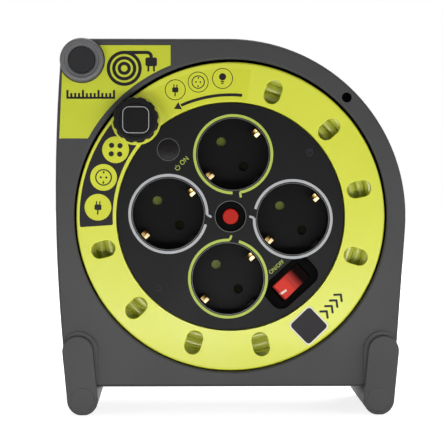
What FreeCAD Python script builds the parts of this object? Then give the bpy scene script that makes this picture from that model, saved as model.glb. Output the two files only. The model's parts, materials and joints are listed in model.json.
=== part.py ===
import FreeCAD, Part
import math
import os

import Sketcher
from FreeCAD import Placement, Rotation, Vector

# Extension cord reel. Millimetres, +Z up, the front faces -Y.
# The origin lies on the floor, under the middle of the reel.
# Pieces are drawn round the drum's axis: x to the right, y to the rear from the middle of
# the case, z up. Their placements then carry them to the drum's height above the floor.

# Driving dimensions: name, value, what it is
SIZES = [
    ("case_side", 10.9, "opening's edge to the right side"),
    ("rear_room", 1.5, "rear cheek to the rear plate"),
    ("case_shoulder", 12.1, "opening's edge to the upper right shoulder"),
    ("case_under", 8.1, "opening's edge down to the case's bottom"),
    ("case_taper", 6.6, "right side to the narrower bottom edge's end"),
    ("side_bow", 980.0, "radius of the slightly bowed left side"),
    ("plate_wall", 2.8, "front and rear plates"),
    ("rim_wall", 2.4, "wall round the case's edge"),
    ("face_round", 1.7, "rounding of the face's edge"),
    ("base_round", 2.0, "rounding of the case's two lower corners"),
    ("opening_gap", 1.1, "ring's edge to the front opening"),
    ("opening_rise", 0.5, "opening's centre above the drum's axis"),
    ("opening_round", 1.2, "rounding of the opening's edge"),
    ("hand_wall_step", 0.9, "opening's edge to the wall behind the hand space"),
    ("hand_space_from", 30.0, "start of the hand space from the axis, both ways"),
    ("grip_side", 15.5, "case's side to the carry grip"),
    ("grip_under", 12.2, "case's top down to the carry grip"),
    ("grip_radius", 9.5, "soft sleeve of the grip"),
    ("grip_core_radius", 6.0, "plastic core of the grip"),
    ("grip_end_radius", 12.4, "end ring of the grip"),
    ("grip_plug_radius", 7.6, "round plug in the end ring"),
    ("proud", 5.0, "feet and end rings in front of the face"),
    ("foot_radius", 8.8, "half width of a foot"),
    ("foot_side", 9.0, "bottom edge's end to a foot's lower end"),
    ("foot_under", 7.0, "case's bottom down to a foot's lower end"),
    ("foot_lean", 2.7, "foot's upper end outward of its lower end"),
    ("foot_high", 27.8, "foot's upper end above its lower end"),
    ("foot_step", 2.2, "raised seat standing out round a foot"),
    ("foot_seat", 2.0, "height of the raised seat"),
    ("foot_plug_radius", 6.8, "round plug at a foot's lower end"),
    ("cover_round", 0.8, "rounding of a foot cover's face"),
    ("plug_thick", 1.6, "plugs over the screws"),
    ("plug_sunk", 1.4, "plug behind the end ring's rim"),
    ("floor_flat", 0.25, "taken off a foot's round where it stands"),
    ("foot_screw_long", 12.0, "foot screw in the bar"),
    ("grip_bolt", 2.5, "bolt through the grip"),
    ("grip_head", 5.2, "room for the bolt's head and nut"),
    ("grip_head_high", 0.9, "bolt's flat head and nut"),
    ("screw_side", 33.9, "right side to the case screw"),
    ("screw_under", 33.3, "case's top down to the case screw"),
    ("screw_post", 4.2, "post round the case screw"),
    ("screw_hole", 2.9, "screw's sunk hole in the face"),
    ("screw_sink", 16.0, "depth of the screw's sunk hole"),
    ("screw_shank", 1.7, "case screw's shank"),
    ("screw_head", 2.2, "case screw's head"),
    ("outlet_over", 35.2, "cable outlet above the case's bottom"),
    ("outlet_wide", 50.0, "cable outlet along the depth"),
    ("outlet_high", 13.0, "cable outlet's height"),
    ("guide_wall", 1.8, "wall of the cable guide"),
    ("guide_out", 3.4, "guide's mouth outside of the bottom edge's end"),
    ("guide_neck", 3.5, "guide's neck through the rim"),
    ("guide_through", 4.0, "how far the guide's bore runs past its neck"),
    ("cut_past", 10.0, "how far a cut at the case's edge runs past it"),
    ("fit_gap", 0.15, "clearance of pieces that fit into each other"),
    ("run_gap", 0.3, "clearance of pieces that pass each other"),
    ("shaft_gap", 0.06, "radial clearance of a shaft in its bore"),
    ("drum_turn", 2.4, "drum at rest, turned clockwise as seen"),
    ("ring_over", 1.5135, "ring's edge outward of the outermost turns"),
    ("bore_over", 4.4, "hub to the front ring's bore"),
    ("ring_recess", 1.5, "front ring behind the case's face"),
    ("ring_thick", 3.0, "front ring"),
    ("ring_round", 1.0, "rounding of the ring's outer edge"),
    ("ring_lip", 2.1, "wall of the lip round the bore"),
    ("ring_skirt", 1.5, "skirt behind the ring's outer edge"),
    ("skirt_wall", 1.4, "wall of that skirt"),
    ("slot_round", 0.5, "rounding of the slots' edges"),
    ("slot_out", 9.6, "ring's bore to the circle of the slots"),
    ("slot_long", 13.7, "slot along the radius"),
    ("slot_wide", 9.3, "slot across the radius"),
    ("slot_first", 73.6, "angle of the first slot"),
    ("slot_pitch", 29.6, "angle from slot to slot"),
    ("panel_gap", 0.4, "panel's edge to the ring's bore"),
    ("panel_recess", 2.5, "panel behind the ring's face"),
    ("panel_thick", 4.0, "socket panel"),
    ("hub_over", 5.0, "socket recesses to the hub that the cable lies on"),
    ("hub_wall", 2.0, "hub's wall"),
    ("collar_thick", 1.5, "hub's front collar"),
    ("ledge_wide", 2.6, "ledge in the hub for the back cover"),
    ("cheek_under", 0.6, "rear cheek's edge inside of the ring's"),
    ("cheek_thick", 2.4, "rear cheek"),
    ("cheek_bore", 17.0, "rear cheek's bore round the axle's flange"),
    ("cheek_screw_in", 16.0, "hub to the cheek screws"),
    ("cheek_screw", 1.5, "cheek screw's shank"),
    ("cheek_head", 3.0, "cheek screw's head"),
    ("cheek_post", 4.0, "post for a cheek screw"),
    ("web_before", 8.3, "hub's web in front of the rear cheek"),
    ("web_thick", 2.5, "hub's web"),
    ("boss_wall", 3.0, "wall of the bearing boss"),
    ("bush_wall", 1.9, "bearing bush's wall"),
    ("bush_long", 20.0, "bearing bush's length"),
    ("axle_radius", 8.0, "axle's journal"),
    ("axle_flange", 14.0, "axle's flange on the rear shell"),
    ("axle_flange_thick", 3.0, "thickness of that flange"),
    ("axle_bolt_radius", 3.0, "bolt through the axle"),
    ("axle_bolt_head", 6.5, "bolt's round head on the rear face"),
    ("bolt_head_high", 3.2, "height of that head"),
    ("washer_thick", 1.2, "washer that holds the drum"),
    ("nut_high", 4.0, "nut on the axle's bolt"),
    ("cable_radius", 3.5, "cable's half diameter"),
    ("cable_pitch", 7.5, "step of the outer layer's turns"),
    ("cable_turns", 8.0, "turns in each layer"),
    ("stub_long", 5.0, "cable stubs that the outer layer's ends meet"),
    ("cable_layers", 4.0, "layers, each lying in the one below"),
    ("socket_circle", 35.6, "socket centres from the axis"),
    ("socket_radius", 20.4, "socket recess"),
    ("socket_depth", 17.5, "socket recess's depth from the panel's face"),
    ("cup_wall", 1.2, "socket cup's wall"),
    ("cup_floor", 2.0, "socket cup's floor"),
    ("pin_spacing", 19.0, "pin hole to pin hole"),
    ("pin_hole", 2.75, "pin hole's radius"),
    ("rib_wide", 5.0, "guide rib in the recess"),
    ("rib_high", 1.5, "guide rib's height"),
    ("clip_half", 17.6, "earth clip's leg from the socket's centre"),
    ("clip_thick", 0.8, "earth clip's sheet"),
    ("clip_wide", 4.0, "earth clip's width"),
    ("clip_reach", 9.5, "earth clip above the recess's floor"),
    ("clip_nose", 1.5, "bend of the clip's nose towards the middle"),
    ("shutter_radius", 14.6, "safety shutter's disc"),
    ("shutter_thick", 1.5, "safety shutter's disc"),
    ("shutter_swing", 36.0, "turn that opens a shutter"),
    ("shutter_pin", 1.5, "pin that a shutter turns on"),
    ("carrier_thick", 2.0, "plate that carries the contacts"),
    ("carrier_gap", 3.8, "inside of the hub to that plate's edge"),
    ("contact_radius", 3.2, "pin contact's sleeve"),
    ("contact_wall", 0.6, "pin contact's wall"),
    ("contact_long", 10.0, "pin contact's sleeve"),
    ("bar_wide", 4.4, "bus bars"),
    ("bar_thick", 0.8, "bus bars"),
    ("bar_step", 2.0, "depth from one bus bar to the next"),
    ("cover_thick", 2.0, "back cover of the socket module"),
    ("cover_gap", 4.5, "space between the last bar and the cover"),
    ("panel_round", 0.35, "rounding of the panel's edges"),
    ("reset_dish", 8.7, "round dish round the reset button"),
    ("reset_dish_depth", 2.6, "depth of that dish"),
    ("reset_radius", 4.5, "reset button"),
    ("reset_proud", 0.6, "reset button in front of the panel"),
    ("reset_travel", 1.8, "way that the button presses in"),
    ("cutout_half", 8.0, "half side of the thermal cut-out"),
    ("cutout_long", 22.0, "depth of the thermal cut-out"),
    ("lamp_in", 13.2, "ring's bore to the lamp's centre"),
    ("lamp_angle", 135.4, "lamp's direction"),
    ("lamp_radius", 6.0, "lamp's lens"),
    ("lamp_dome", 0.6, "rise of the lens"),
    ("lamp_long", 20.0, "lamp's body"),
    ("switch_in", 14.2, "ring's bore to the switch's centre"),
    ("switch_angle", -45.2, "switch's direction"),
    ("dish_long", 32.6, "switch dish along the panel's edge"),
    ("dish_wide", 18.2, "switch dish across"),
    ("dish_corner", 6.5, "switch dish's corners"),
    ("dish_depth", 3.0, "switch dish's depth"),
    ("rocker_long", 19.0, "rocker's length"),
    ("rocker_wide", 10.4, "rocker's width"),
    ("rocker_room", 1.2, "room past each end of the rocker"),
    ("rocker_pivot", 2.5, "rocker's pivot behind the dish's floor"),
    ("rocker_rise", 2.4, "rocker's ends in front of the dish's floor"),
    ("rocker_low", 2.6, "rocker's underside behind its pivot"),
    ("rocker_round", 0.5, "rounding of the rocker's edges"),
    ("trunnion", 1.4, "rocker's pivot pin"),
    ("rocker_tilt", 10.0, "rocker's tilt each way"),
    ("switch_wall", 0.8, "switch body's wall"),
    ("switch_deep", 15.0, "switch body behind the dish's floor"),
    ("panel_screw_in", 2.8, "hub to the panel screws"),
    ("panel_screw_first", 41.2, "first panel screw's direction"),
    ("panel_screw_second", -133.0, "second panel screw's direction"),
    ("panel_post", 2.7, "post round a panel screw"),
    ("panel_post_long", 14.0, "length of that post"),
    ("panel_screw", 1.2, "panel screw's shank"),
    ("panel_head_deep", 1.6, "panel screw's sunk seat"),
    ("panel_head", 2.5, "panel screw's head"),
    ("knob_out", 11.5, "ring's bore to the winding knob's pin"),
    ("knob_angle", 136.8, "winding knob's direction"),
    ("knob_radius", 13.0, "winding knob"),
    ("knob_high", 9.4, "winding knob's body"),
    ("knob_flutes", 12.0, "hollows round the knob"),
    ("flute_radius", 2.4, "hollow's radius"),
    ("flute_sink", 0.75, "hollow's depth"),
    ("knob_seat", 14.2, "raised seat under the knob"),
    ("knob_seat_high", 0.6, "height of that seat"),
    ("knob_neck", 6.5, "knob's neck on the seat"),
    ("knob_pin", 3.0, "knob's pin"),
    ("knob_cap_radius", 9.4, "cap in the knob's front"),
    ("knob_cap_thick", 1.2, "knob's cap"),
    ("label_thick", 0.25, "labels"),
    ("label_over", 3.8, "case's top down to the case label's upper edge"),
    ("label_low", 44.4, "grip down to the case label's lower edge"),
    ("label_side", 50.3, "grip to the case label's right edge"),
    ("label_margin", 3.5, "opening's edge to the case label"),
    ("lead_radius", 1.1, "insulated inner leads"),
    ("tail_circle", 30.0, "cable's inner end from the axis"),
    ("tail_bend", 14.0, "bend of the cable's inner end"),
]

doc = FreeCAD.newDocument("CordReel")
sheet = doc.addObject("Spreadsheet::Sheet", "Sizes")
for row, (alias, value, meaning) in enumerate(SIZES, start=1):
    sheet.set("A%d" % row, alias)
    sheet.set("B%d" % row, repr(value))
    sheet.set("C%d" % row, meaning)
    sheet.setAlias("B%d" % row, alias)
doc.recompute()


class Size:
    """A length or angle together with the formula that the document keeps for it."""

    def __init__(self, number, formula):
        self.number = number
        self.formula = formula

    def __add__(self, other):
        other = as_size(other)
        return Size(self.number + other.number, "(%s + %s)" % (self.formula, other.formula))

    def __sub__(self, other):
        other = as_size(other)
        return Size(self.number - other.number, "(%s - %s)" % (self.formula, other.formula))

    def __mul__(self, other):
        other = as_size(other)
        return Size(self.number * other.number, "(%s * %s)" % (self.formula, other.formula))

    def __truediv__(self, other):
        other = as_size(other)
        return Size(self.number / other.number, "(%s / %s)" % (self.formula, other.formula))

    def __neg__(self):
        return Size(-self.number, "(0 - %s)" % self.formula)

    def __rsub__(self, other):
        return as_size(other) - self

    def __rtruediv__(self, other):
        return as_size(other) / self

    __radd__ = __add__
    __rmul__ = __mul__


def as_size(value):
    """A plain number as a Size; a Size as it is."""
    if isinstance(value, Size):
        return value
    return Size(float(value), "(%r)" % float(value))


def root(value):
    return Size(math.sqrt(value.number), "sqrt(%s)" % value.formula)


def cosine(angle):
    angle = as_size(angle)
    return Size(math.cos(math.radians(angle.number)), "cos(%s)" % angle.formula)


def sine(angle):
    angle = as_size(angle)
    return Size(math.sin(math.radians(angle.number)), "sin(%s)" % angle.formula)


class Dimensions:
    """The sheet's values by name, each as a Size."""

    def __getattr__(self, alias):
        return Size(float(getattr(sheet, alias)), "Sizes.%s" % alias)


D = Dimensions()


def named(alias, size, meaning):
    """Keeps a value that follows from others in the sheet, under a name of its own."""
    row = len(SIZES) + 2 + len(DERIVED)
    DERIVED.append(alias)
    sheet.set("A%d" % row, alias)
    sheet.set("B%d" % row, "=" + size.formula.replace("Sizes.", ""))
    sheet.set("C%d" % row, meaning)
    sheet.setAlias("B%d" % row, alias)
    sheet.recompute()
    return Size(size.number, "Sizes.%s" % alias)


DERIVED = []

# Radii from the sockets outward
named("hub_radius", D.socket_circle + D.socket_radius + D.hub_over, "hub that the cable lies on")
named("ring_bore", D.hub_radius + D.bore_over, "front ring's bore")
LAYER_STEP = D.cable_radius * root(as_size(3.0))
INNER_LAYER = D.hub_radius + D.run_gap + D.cable_radius
OUTER_LAYER = INNER_LAYER + LAYER_STEP * (D.cable_layers - 1)
named("ring_radius", OUTER_LAYER + D.cable_radius + D.ring_over, "front ring's edge")
named("cheek_radius", D.ring_radius - D.cheek_under, "rear cheek's edge")
named("opening_radius", D.ring_radius + D.opening_gap, "front opening round the drum")
named("hand_wall_radius", D.opening_radius + D.hand_wall_step, "wall behind the hand space")

# Pieces' circles round the axis
named("slot_circle", D.ring_bore + D.slot_out, "radius on which the ring's slots lie")
named("knob_circle", D.ring_bore + D.knob_out, "winding knob's pin from the axis")
named("panel_screw_circle", D.hub_radius - D.panel_screw_in, "panel screws from the axis")
named("lamp_circle", D.ring_bore - D.lamp_in, "lamp's centre from the axis")
named("switch_circle", D.ring_bore - D.switch_in, "switch's centre from the axis")
named("cheek_screw_circle", D.hub_radius - D.cheek_screw_in, "cheek screws from the axis")
named("carrier_radius", D.hub_radius - D.hub_wall - D.carrier_gap, "edge of the contacts' plate")

# The case round the drum
named("case_half_width", D.opening_radius + D.case_side, "drum axis to the right side")
named("case_arc", D.opening_radius + D.case_shoulder, "radius of the upper right shoulder")
named("case_drop", D.opening_radius + D.case_under, "drum axis down to the case's bottom")
named("case_base_half", D.case_half_width - D.case_taper, "half width of the bottom edge")
named("grip_x", D.case_half_width - D.grip_side, "carry grip left of the axis")
named("grip_z", D.case_arc - D.grip_under, "carry grip above the axis")
named("foot_low_x", D.case_base_half - D.foot_side, "lower end of a foot from the axis")
named("foot_low_z", D.case_drop + D.foot_under, "lower end of a foot below the axis")
named("foot_high_x", D.foot_low_x + D.foot_lean, "upper end of a foot from the axis")
named("foot_high_z", D.foot_low_z - D.foot_high, "upper end of a foot below the axis")
named("screw_x", D.case_half_width - D.screw_side, "case screw right of the axis")
named("screw_z", D.case_arc - D.screw_under, "case screw above the axis")
named("outlet_z", D.case_drop - D.outlet_over, "cable outlet below the axis")
named("label_top", D.case_arc - D.label_over, "case label's upper edge above the axis")
named("label_bottom", D.grip_z - D.label_low, "case label's lower edge above the axis")
named("label_right", D.grip_x - D.label_side, "case label's right edge left of the axis")
named("label_radius", D.opening_radius + D.label_margin, "case label's edge along the opening")

# The drum from front to rear, and the case's depth round it
DRUM_LONG = D.panel_recess + D.panel_thick + D.collar_thick + (D.run_gap + 0.1) * 2
DRUM_LONG = DRUM_LONG + D.cable_pitch * D.cable_turns + D.cable_radius * 2 + D.cheek_thick
named("case_depth", D.ring_recess + DRUM_LONG + D.rear_room + D.plate_wall, "front face to rear face")

# Depths, from the middle of the case towards the rear
FRONT = -(D.case_depth / 2)
REAR = D.case_depth / 2
PLATE_INSIDE = FRONT + D.plate_wall
REAR_INSIDE = REAR - D.plate_wall
RING_FRONT = FRONT + D.ring_recess
RING_BACK = RING_FRONT + D.ring_thick
PANEL_FRONT = RING_FRONT + D.panel_recess
PANEL_BACK = PANEL_FRONT + D.panel_thick
COLLAR_BACK = PANEL_BACK + D.collar_thick
CABLE_FRONT = COLLAR_BACK + D.run_gap + 0.1
CABLE_BACK = CABLE_FRONT + D.cable_pitch * D.cable_turns + D.cable_radius * 2
CHEEK_FRONT = CABLE_BACK + D.run_gap + 0.1
CHEEK_BACK = CHEEK_FRONT + D.cheek_thick
RECESS_FLOOR = PANEL_FRONT + D.socket_depth
CUP_BACK = RECESS_FLOOR + D.cup_floor
SHUTTER_FRONT = CUP_BACK + D.run_gap
SHUTTER_BACK = SHUTTER_FRONT + D.shutter_thick
CARRIER_FRONT = SHUTTER_BACK + D.run_gap
CARRIER_BACK = CARRIER_FRONT + D.carrier_thick
CONTACT_BACK = CARRIER_FRONT + D.contact_long
BAR_A_BACK = CONTACT_BACK + D.bar_thick
BAR_B_FRONT = CONTACT_BACK + D.bar_step
BAR_B_BACK = BAR_B_FRONT + D.bar_thick
COVER_FRONT = BAR_B_BACK + D.cover_gap
COVER_BACK = COVER_FRONT + D.cover_thick
KNOB_BACK = FRONT - D.label_thick - D.run_gap * 2
KNOB_FRONT = KNOB_BACK - D.knob_high

WEB_FRONT = CHEEK_FRONT - D.web_before
WEB_BACK = WEB_FRONT + D.web_thick
BUSH_FRONT = WEB_BACK - D.bush_long
BUSH_RADIUS = D.axle_radius + D.shaft_gap + D.bush_wall
STRAP_BACK = CARRIER_BACK + D.bar_step * 1.6
STRAP_FRONT = STRAP_BACK - D.clip_thick
DISH_FLOOR = PANEL_FRONT + D.dish_depth
TAIL_DEPTH = WEB_FRONT - D.cable_radius - D.web_thick
AXIS_HEIGHT = D.foot_low_z + D.foot_radius - D.floor_flat

# The knob reaches further to the front than the feet do to the rear, so the middle of the
# case lies behind the origin
MIDDLE = (-(KNOB_FRONT) - REAR - D.proud) / 2


def bind(thing, name, value):
    """Ties one property to its formula."""
    thing.setExpression(name, as_size(value).formula)


def place(thing, x=0.0, z=0.0, turn=0.0):
    """Puts a fixed piece round a point of the case, turned about the depth axis."""
    x, z, turn = as_size(x), as_size(z), as_size(turn)
    lift = AXIS_HEIGHT + z
    thing.Placement = Placement(
        Vector(x.number, MIDDLE.number, lift.number), Rotation(Vector(0, 1, 0), turn.number)
    )
    bind(thing, "Placement.Base.x", x)
    bind(thing, "Placement.Base.y", MIDDLE)
    bind(thing, "Placement.Base.z", lift)
    if turn.number != 0.0:
        bind(thing, "Placement.Rotation.Angle", turn)


def place_on_drum(thing, x=0.0, z=0.0, turn=0.0):
    """Puts a drum piece round a point of the drum, which stands turned at rest."""
    x, z = as_size(x), as_size(z)
    turned_x = x * cosine(D.drum_turn) + z * sine(D.drum_turn)
    turned_z = z * cosine(D.drum_turn) - x * sine(D.drum_turn)
    place(thing, turned_x, turned_z, D.drum_turn + turn)


def polar(radius, angle):
    """A point of the drum or case by radius and angle, counter-clockwise from the right."""
    return as_size(radius) * cosine(angle), as_size(radius) * sine(angle)


class Circle:
    """A round outline."""

    def __init__(self, x, z, radius):
        self.x = as_size(x)
        self.z = as_size(z)
        self.radius = as_size(radius)

    def draw(self, sketch):
        centre = Vector(self.x.number, self.z.number, 0)
        index = sketch.addGeometry(Part.Circle(centre, Vector(0, 0, 1), self.radius.number), False)
        pin(sketch, index, 3, self.x, self.z)
        hold(sketch, Sketcher.Constraint("Radius", index, self.radius.number), self.radius)


class Outline:
    """A closed outline of lines and arcs.

    Each corner is (x, z) where a line leaves it, or (x, z, radius) where an arc does: its
    radius is positive where the arc turns to the left, and negative to the right.
    """

    def __init__(self, corners):
        self.corners = [[as_size(value) for value in corner] for corner in corners]

    def draw(self, sketch):
        joints = []
        for number, corner in enumerate(self.corners):
            after = self.corners[(number + 1) % len(self.corners)]
            start = Vector(corner[0].number, corner[1].number, 0)
            end = Vector(after[0].number, after[1].number, 0)
            joints.append(draw_span(sketch, start, end, corner))
        for number, corner in enumerate(self.corners):
            index, first, last = joints[number]
            before, _, before_last = joints[number - 1]
            sketch.addConstraint(
                Sketcher.Constraint("Coincident", before, before_last, index, first)
            )
            pin(sketch, index, first, corner[0], corner[1])


def draw_span(sketch, start, end, corner):
    """One line or arc. Returns its number and which of its ends are its start and end.

    An arc is always drawn counter-clockwise, so one that turns right is drawn end first.
    """
    if len(corner) == 2:
        index = sketch.addGeometry(Part.LineSegment(start, end), False)
        return index, 1, 2
    radius = corner[2].number
    side = 1.0 if radius > 0 else -1.0
    radius = abs(radius)
    chord = end - start
    left = Vector(-chord.y, chord.x, 0).normalize()
    half = chord.Length / 2
    reach = math.sqrt(max(radius * radius - half * half, 0.0))
    centre = (start + end) * 0.5 + left * (side * reach)
    middle = centre - left * (side * radius)
    ends = (start, end) if side > 0 else (end, start)
    index = sketch.addGeometry(Part.Arc(ends[0], middle, ends[1]), False)
    size = corner[2] if side > 0 else -corner[2]
    hold(sketch, Sketcher.Constraint("Radius", index, radius), size)
    return (index, 1, 2) if side > 0 else (index, 2, 1)


def hold(sketch, constraint, value):
    """Adds a constraint whose value follows a formula."""
    index = sketch.addConstraint(constraint)
    bind(sketch, "Constraints[%d]" % index, value)


def pin(sketch, index, point, x, z):
    """Holds a point of a sketch at its distances from the sketch's origin."""
    hold(sketch, Sketcher.Constraint("DistanceX", -1, 1, index, point, x.number), x)
    hold(sketch, Sketcher.Constraint("DistanceY", -1, 1, index, point, z.number), z)


def rounded_box(x, z, long, wide, corner, angle=0.0):
    """A rectangle with round corners, its long side at an angle."""
    half_long, half_wide = long / 2, wide / 2
    corner = as_size(corner)
    points = [
        (half_long - corner, -half_wide, corner),
        (half_long, corner - half_wide),
        (half_long, half_wide - corner, corner),
        (half_long - corner, half_wide),
        (corner - half_long, half_wide, corner),
        (-half_long, half_wide - corner),
        (-half_long, corner - half_wide, corner),
        (corner - half_long, -half_wide),
    ]
    return Outline([moved(point, x, z, angle) for point in points])


def obround(x1, z1, x2, z2, radius):
    """A round-ended outline from one end's centre to the other's."""
    x1, z1, x2, z2, radius = [as_size(value) for value in (x1, z1, x2, z2, radius)]
    gone_x, gone_z = x2 - x1, z2 - z1
    length = root(gone_x * gone_x + gone_z * gone_z)
    along_x, along_z = gone_x / length * radius, gone_z / length * radius
    return Outline([
        (x1 - along_z, z1 + along_x, radius),
        (x1 - along_x, z1 - along_z, radius),
        (x1 + along_z, z1 - along_x),
        (x2 + along_z, z2 - along_x, radius),
        (x2 + along_x, z2 + along_z, radius),
        (x2 - along_z, z2 + along_x),
    ])


def moved(point, x, z, angle):
    """A corner turned by an angle and moved to its place."""
    turned_x = point[0] * cosine(angle) - point[1] * sine(angle)
    turned_z = point[0] * sine(angle) + point[1] * cosine(angle)
    return (turned_x + x, turned_z + z) + tuple(point[2:])


def start_body(label):
    body = doc.addObject("PartDesign::Body", label)
    body.Label = label
    return body


def origin_feature(body, role):
    return [item for item in body.Origin.OriginFeatures if item.Role == role][0]


def sketch_at(body, depth, loops):
    """A sketch in x and z at a depth, seen from the front."""
    depth = as_size(depth)
    sketch = body.newObject("Sketcher::SketchObject", body.Label + "_outline")
    sketch.AttachmentSupport = [(origin_feature(body, "XZ_Plane"), "")]
    sketch.MapMode = "FlatFace"
    sketch.AttachmentOffset = Placement(Vector(0, 0, -depth.number), Rotation())
    bind(sketch, "AttachmentOffset.Base.z", -depth)
    for loop in loops:
        loop.draw(sketch)
    return sketch


def add_prism(body, front, back, *loops):
    """Material between two depths, inside the outlines."""
    pad = body.newObject("PartDesign::Pad", body.Label + "_pad")
    pad.Profile = sketch_at(body, back, loops)
    bind(pad, "Length", as_size(back) - front)
    return pad


def cut_prism(body, front, back, *loops):
    """A cut between two depths, inside the outlines."""
    pocket = body.newObject("PartDesign::Pocket", body.Label + "_pocket")
    pocket.Profile = sketch_at(body, front, loops)
    bind(pocket, "Length", as_size(back) - front)
    return pocket


def turned(label, corners):
    """A turned body: corners are (radius, depth), with an arc radius where one leaves it."""
    body = start_body(label)
    sketch = body.newObject("Sketcher::SketchObject", label + "_profile")
    sketch.AttachmentSupport = [(origin_feature(body, "XY_Plane"), "")]
    sketch.MapMode = "FlatFace"
    Outline(corners).draw(sketch)
    revolution = body.newObject("PartDesign::Revolution", label + "_turned")
    revolution.Profile = sketch
    revolution.ReferenceAxis = (origin_feature(body, "Y_Axis"), [""])
    revolution.Angle = 360.0
    return body


def slab(label, front, back, *loops):
    """A body of one even thickness."""
    body = start_body(label)
    add_prism(body, front, back, *loops)
    return body


def round_edges(body, radius, chosen):
    """Rounds the edges of the body so far that a test picks."""
    doc.recompute()
    base = body.Tip
    names = ["Edge%d" % (i + 1) for i, edge in enumerate(base.Shape.Edges) if chosen(edge)]
    if not names:
        raise RuntimeError("no edge to round on " + body.Label)
    fillet = body.newObject("PartDesign::Fillet", body.Label + "_round")
    fillet.Base = (base, names)
    bind(fillet, "Radius", radius)


def lies_at_depth(edge, depth):
    """True for an edge that lies wholly in the plane of one depth."""
    box = edge.BoundBox
    return abs(box.YMin - depth.number) < 1e-4 and abs(box.YMax - depth.number) < 1e-4


def group(label, members):
    """Several separate solids under one name."""
    compound = doc.addObject("Part::Compound", label)
    compound.Label = label
    compound.Links = members
    return compound


# Parts that are written out, in the order of their making
NODES = []


def finish(thing):
    NODES.append(thing)
    return thing


# Case outline, seen from the front
ARC_X = D.case_half_width - D.case_arc
CORNER = D.case_arc - D.grip_z


def shoulder_end(inset):
    """Where the straight right side leaves the shoulder's arc, that far inside the edge."""
    arc = D.case_arc - inset
    gone_x = D.case_base_half - inset - ARC_X
    gone_z = inset - D.case_drop
    square = gone_x * gone_x + gone_z * gone_z
    along = root(square - arc * arc)
    x = ARC_X + arc / square * (arc * gone_x - along * gone_z)
    z = arc / square * (arc * gone_z + along * gone_x)
    return x, z


def bow_centre():
    """Centre of the bowed left side, which runs smoothly into the round grip corner."""
    gone_x = D.grip_x - D.case_base_half
    gone_z = -D.case_drop - D.grip_z
    far = root(gone_x * gone_x + gone_z * gone_z)
    inner = D.side_bow - CORNER
    along = (inner * inner - D.side_bow * D.side_bow + far * far) / (far * 2)
    aside = root(inner * inner - along * along)
    x = (gone_x * along - gone_z * aside) / far - D.grip_x
    z = (gone_z * along + gone_x * aside) / far + D.grip_z
    return x, z


BOW_X = named("bow_x", bow_centre()[0], "centre of the bowed left side")
BOW_Z = named("bow_z", bow_centre()[1], "centre of the bowed left side")


def case_outline():
    shrink = CORNER / (D.side_bow - CORNER)
    return Outline([
        (ARC_X, D.case_arc, -D.case_arc),
        shoulder_end(0.0),
        (D.case_base_half, -D.case_drop),
        (-D.case_base_half, -D.case_drop, -D.side_bow),
        (-D.grip_x - (BOW_X + D.grip_x) * shrink, D.grip_z - (BOW_Z - D.grip_z) * shrink, -CORNER),
        (-D.grip_x, D.case_arc),
    ])


def chamber_outline():
    """The drum's room inside the case."""
    wall = D.rim_wall
    start = D.hand_space_from
    inner = D.hand_wall_radius
    across = root(inner * inner - start * start)
    bow = D.side_bow - wall
    low = wall - D.case_drop
    return Outline([
        (ARC_X, D.case_arc - wall, wall - D.case_arc),
        shoulder_end(wall),
        (D.case_base_half - wall, low),
        (BOW_X - root(bow * bow - (low - BOW_Z) * (low - BOW_Z)), low, -bow),
        (BOW_X - root(bow * bow - (start - BOW_Z) * (start - BOW_Z)), start),
        (-across, start, -inner),
        (-start, across),
        (-start, D.case_arc - wall),
    ])


def hand_space_outline():
    """The open corner between the plates, where the fingers go round the grip."""
    outer = D.hand_wall_radius + D.rim_wall
    start = D.hand_space_from + D.rim_wall
    across = root(outer * outer - start * start)
    far = D.case_half_width + D.cut_past
    return Outline([
        (-far, far),
        (-far, start),
        (-across, start, -outer),
        (-start, across),
        (-start, far),
    ])


def foot_seat_outline(side):
    """The raised seat behind a foot cover, down to the case's bottom edge.

    Side is -1 for the left foot and 1 for the right one.
    """
    big = D.foot_radius + D.foot_step
    small = D.foot_radius - D.foot_step
    low = D.face_round * 1.3 - D.case_drop
    top = big - D.foot_high_z
    return Outline([
        ((D.foot_high_x - big) * side, low),
        ((D.foot_high_x - big) * side, top - big, big * -side),
        (D.foot_high_x * side, top, small * -side),
        ((D.foot_high_x + small) * side, top - small),
        ((D.foot_low_x + small) * side, low),
    ])


SIDES = (("left", -1), ("right", 1))
ENDS = (("front", -1), ("rear", 1))


def end_depth(end, outward):
    """The depth that lies outward of the front (end -1) or rear (end 1) face."""
    return (D.case_depth / 2 + outward) * end


def between(first, second):
    """Two depths with the one nearer to the front first."""
    return (first, second) if first.number < second.number else (second, first)


def make_shell(label, end):
    """One half of the case: a plate and the rim round it, hollow towards the other half."""
    face = end_depth(end, 0.0)
    inside = end_depth(end, -D.plate_wall)
    parting = as_size(0.0)
    body = slab(label, *between(face, parting), case_outline())
    round_edges(body, D.base_round, lower_corner)
    round_edges(body, D.face_round, lambda edge: lies_at_depth(edge, face))
    cut_prism(body, *between(inside, parting), chamber_outline())
    cut_prism(body, *between(inside, parting), hand_space_outline())
    add_prism(body, *between(inside, parting), Circle(D.screw_x, D.screw_z, D.screw_post))
    seat = end_depth(end, D.foot_seat)
    buried = end_depth(end, -D.plate_wall / 2)
    for _, side in SIDES:
        add_prism(body, *between(seat, buried), foot_seat_outline(side))
    cut_prism(body, *between(face, inside), Circle(-D.grip_x, D.grip_z, D.grip_bolt + D.fit_gap))
    cut_outlet(body, end)
    return body


def lower_corner(edge):
    """True for the case's two lower corners, which run from the front to the rear."""
    box = edge.BoundBox
    return box.ZMax < 1e-4 - D.case_drop.number and box.XLength < 1e-4 < box.YLength


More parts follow.
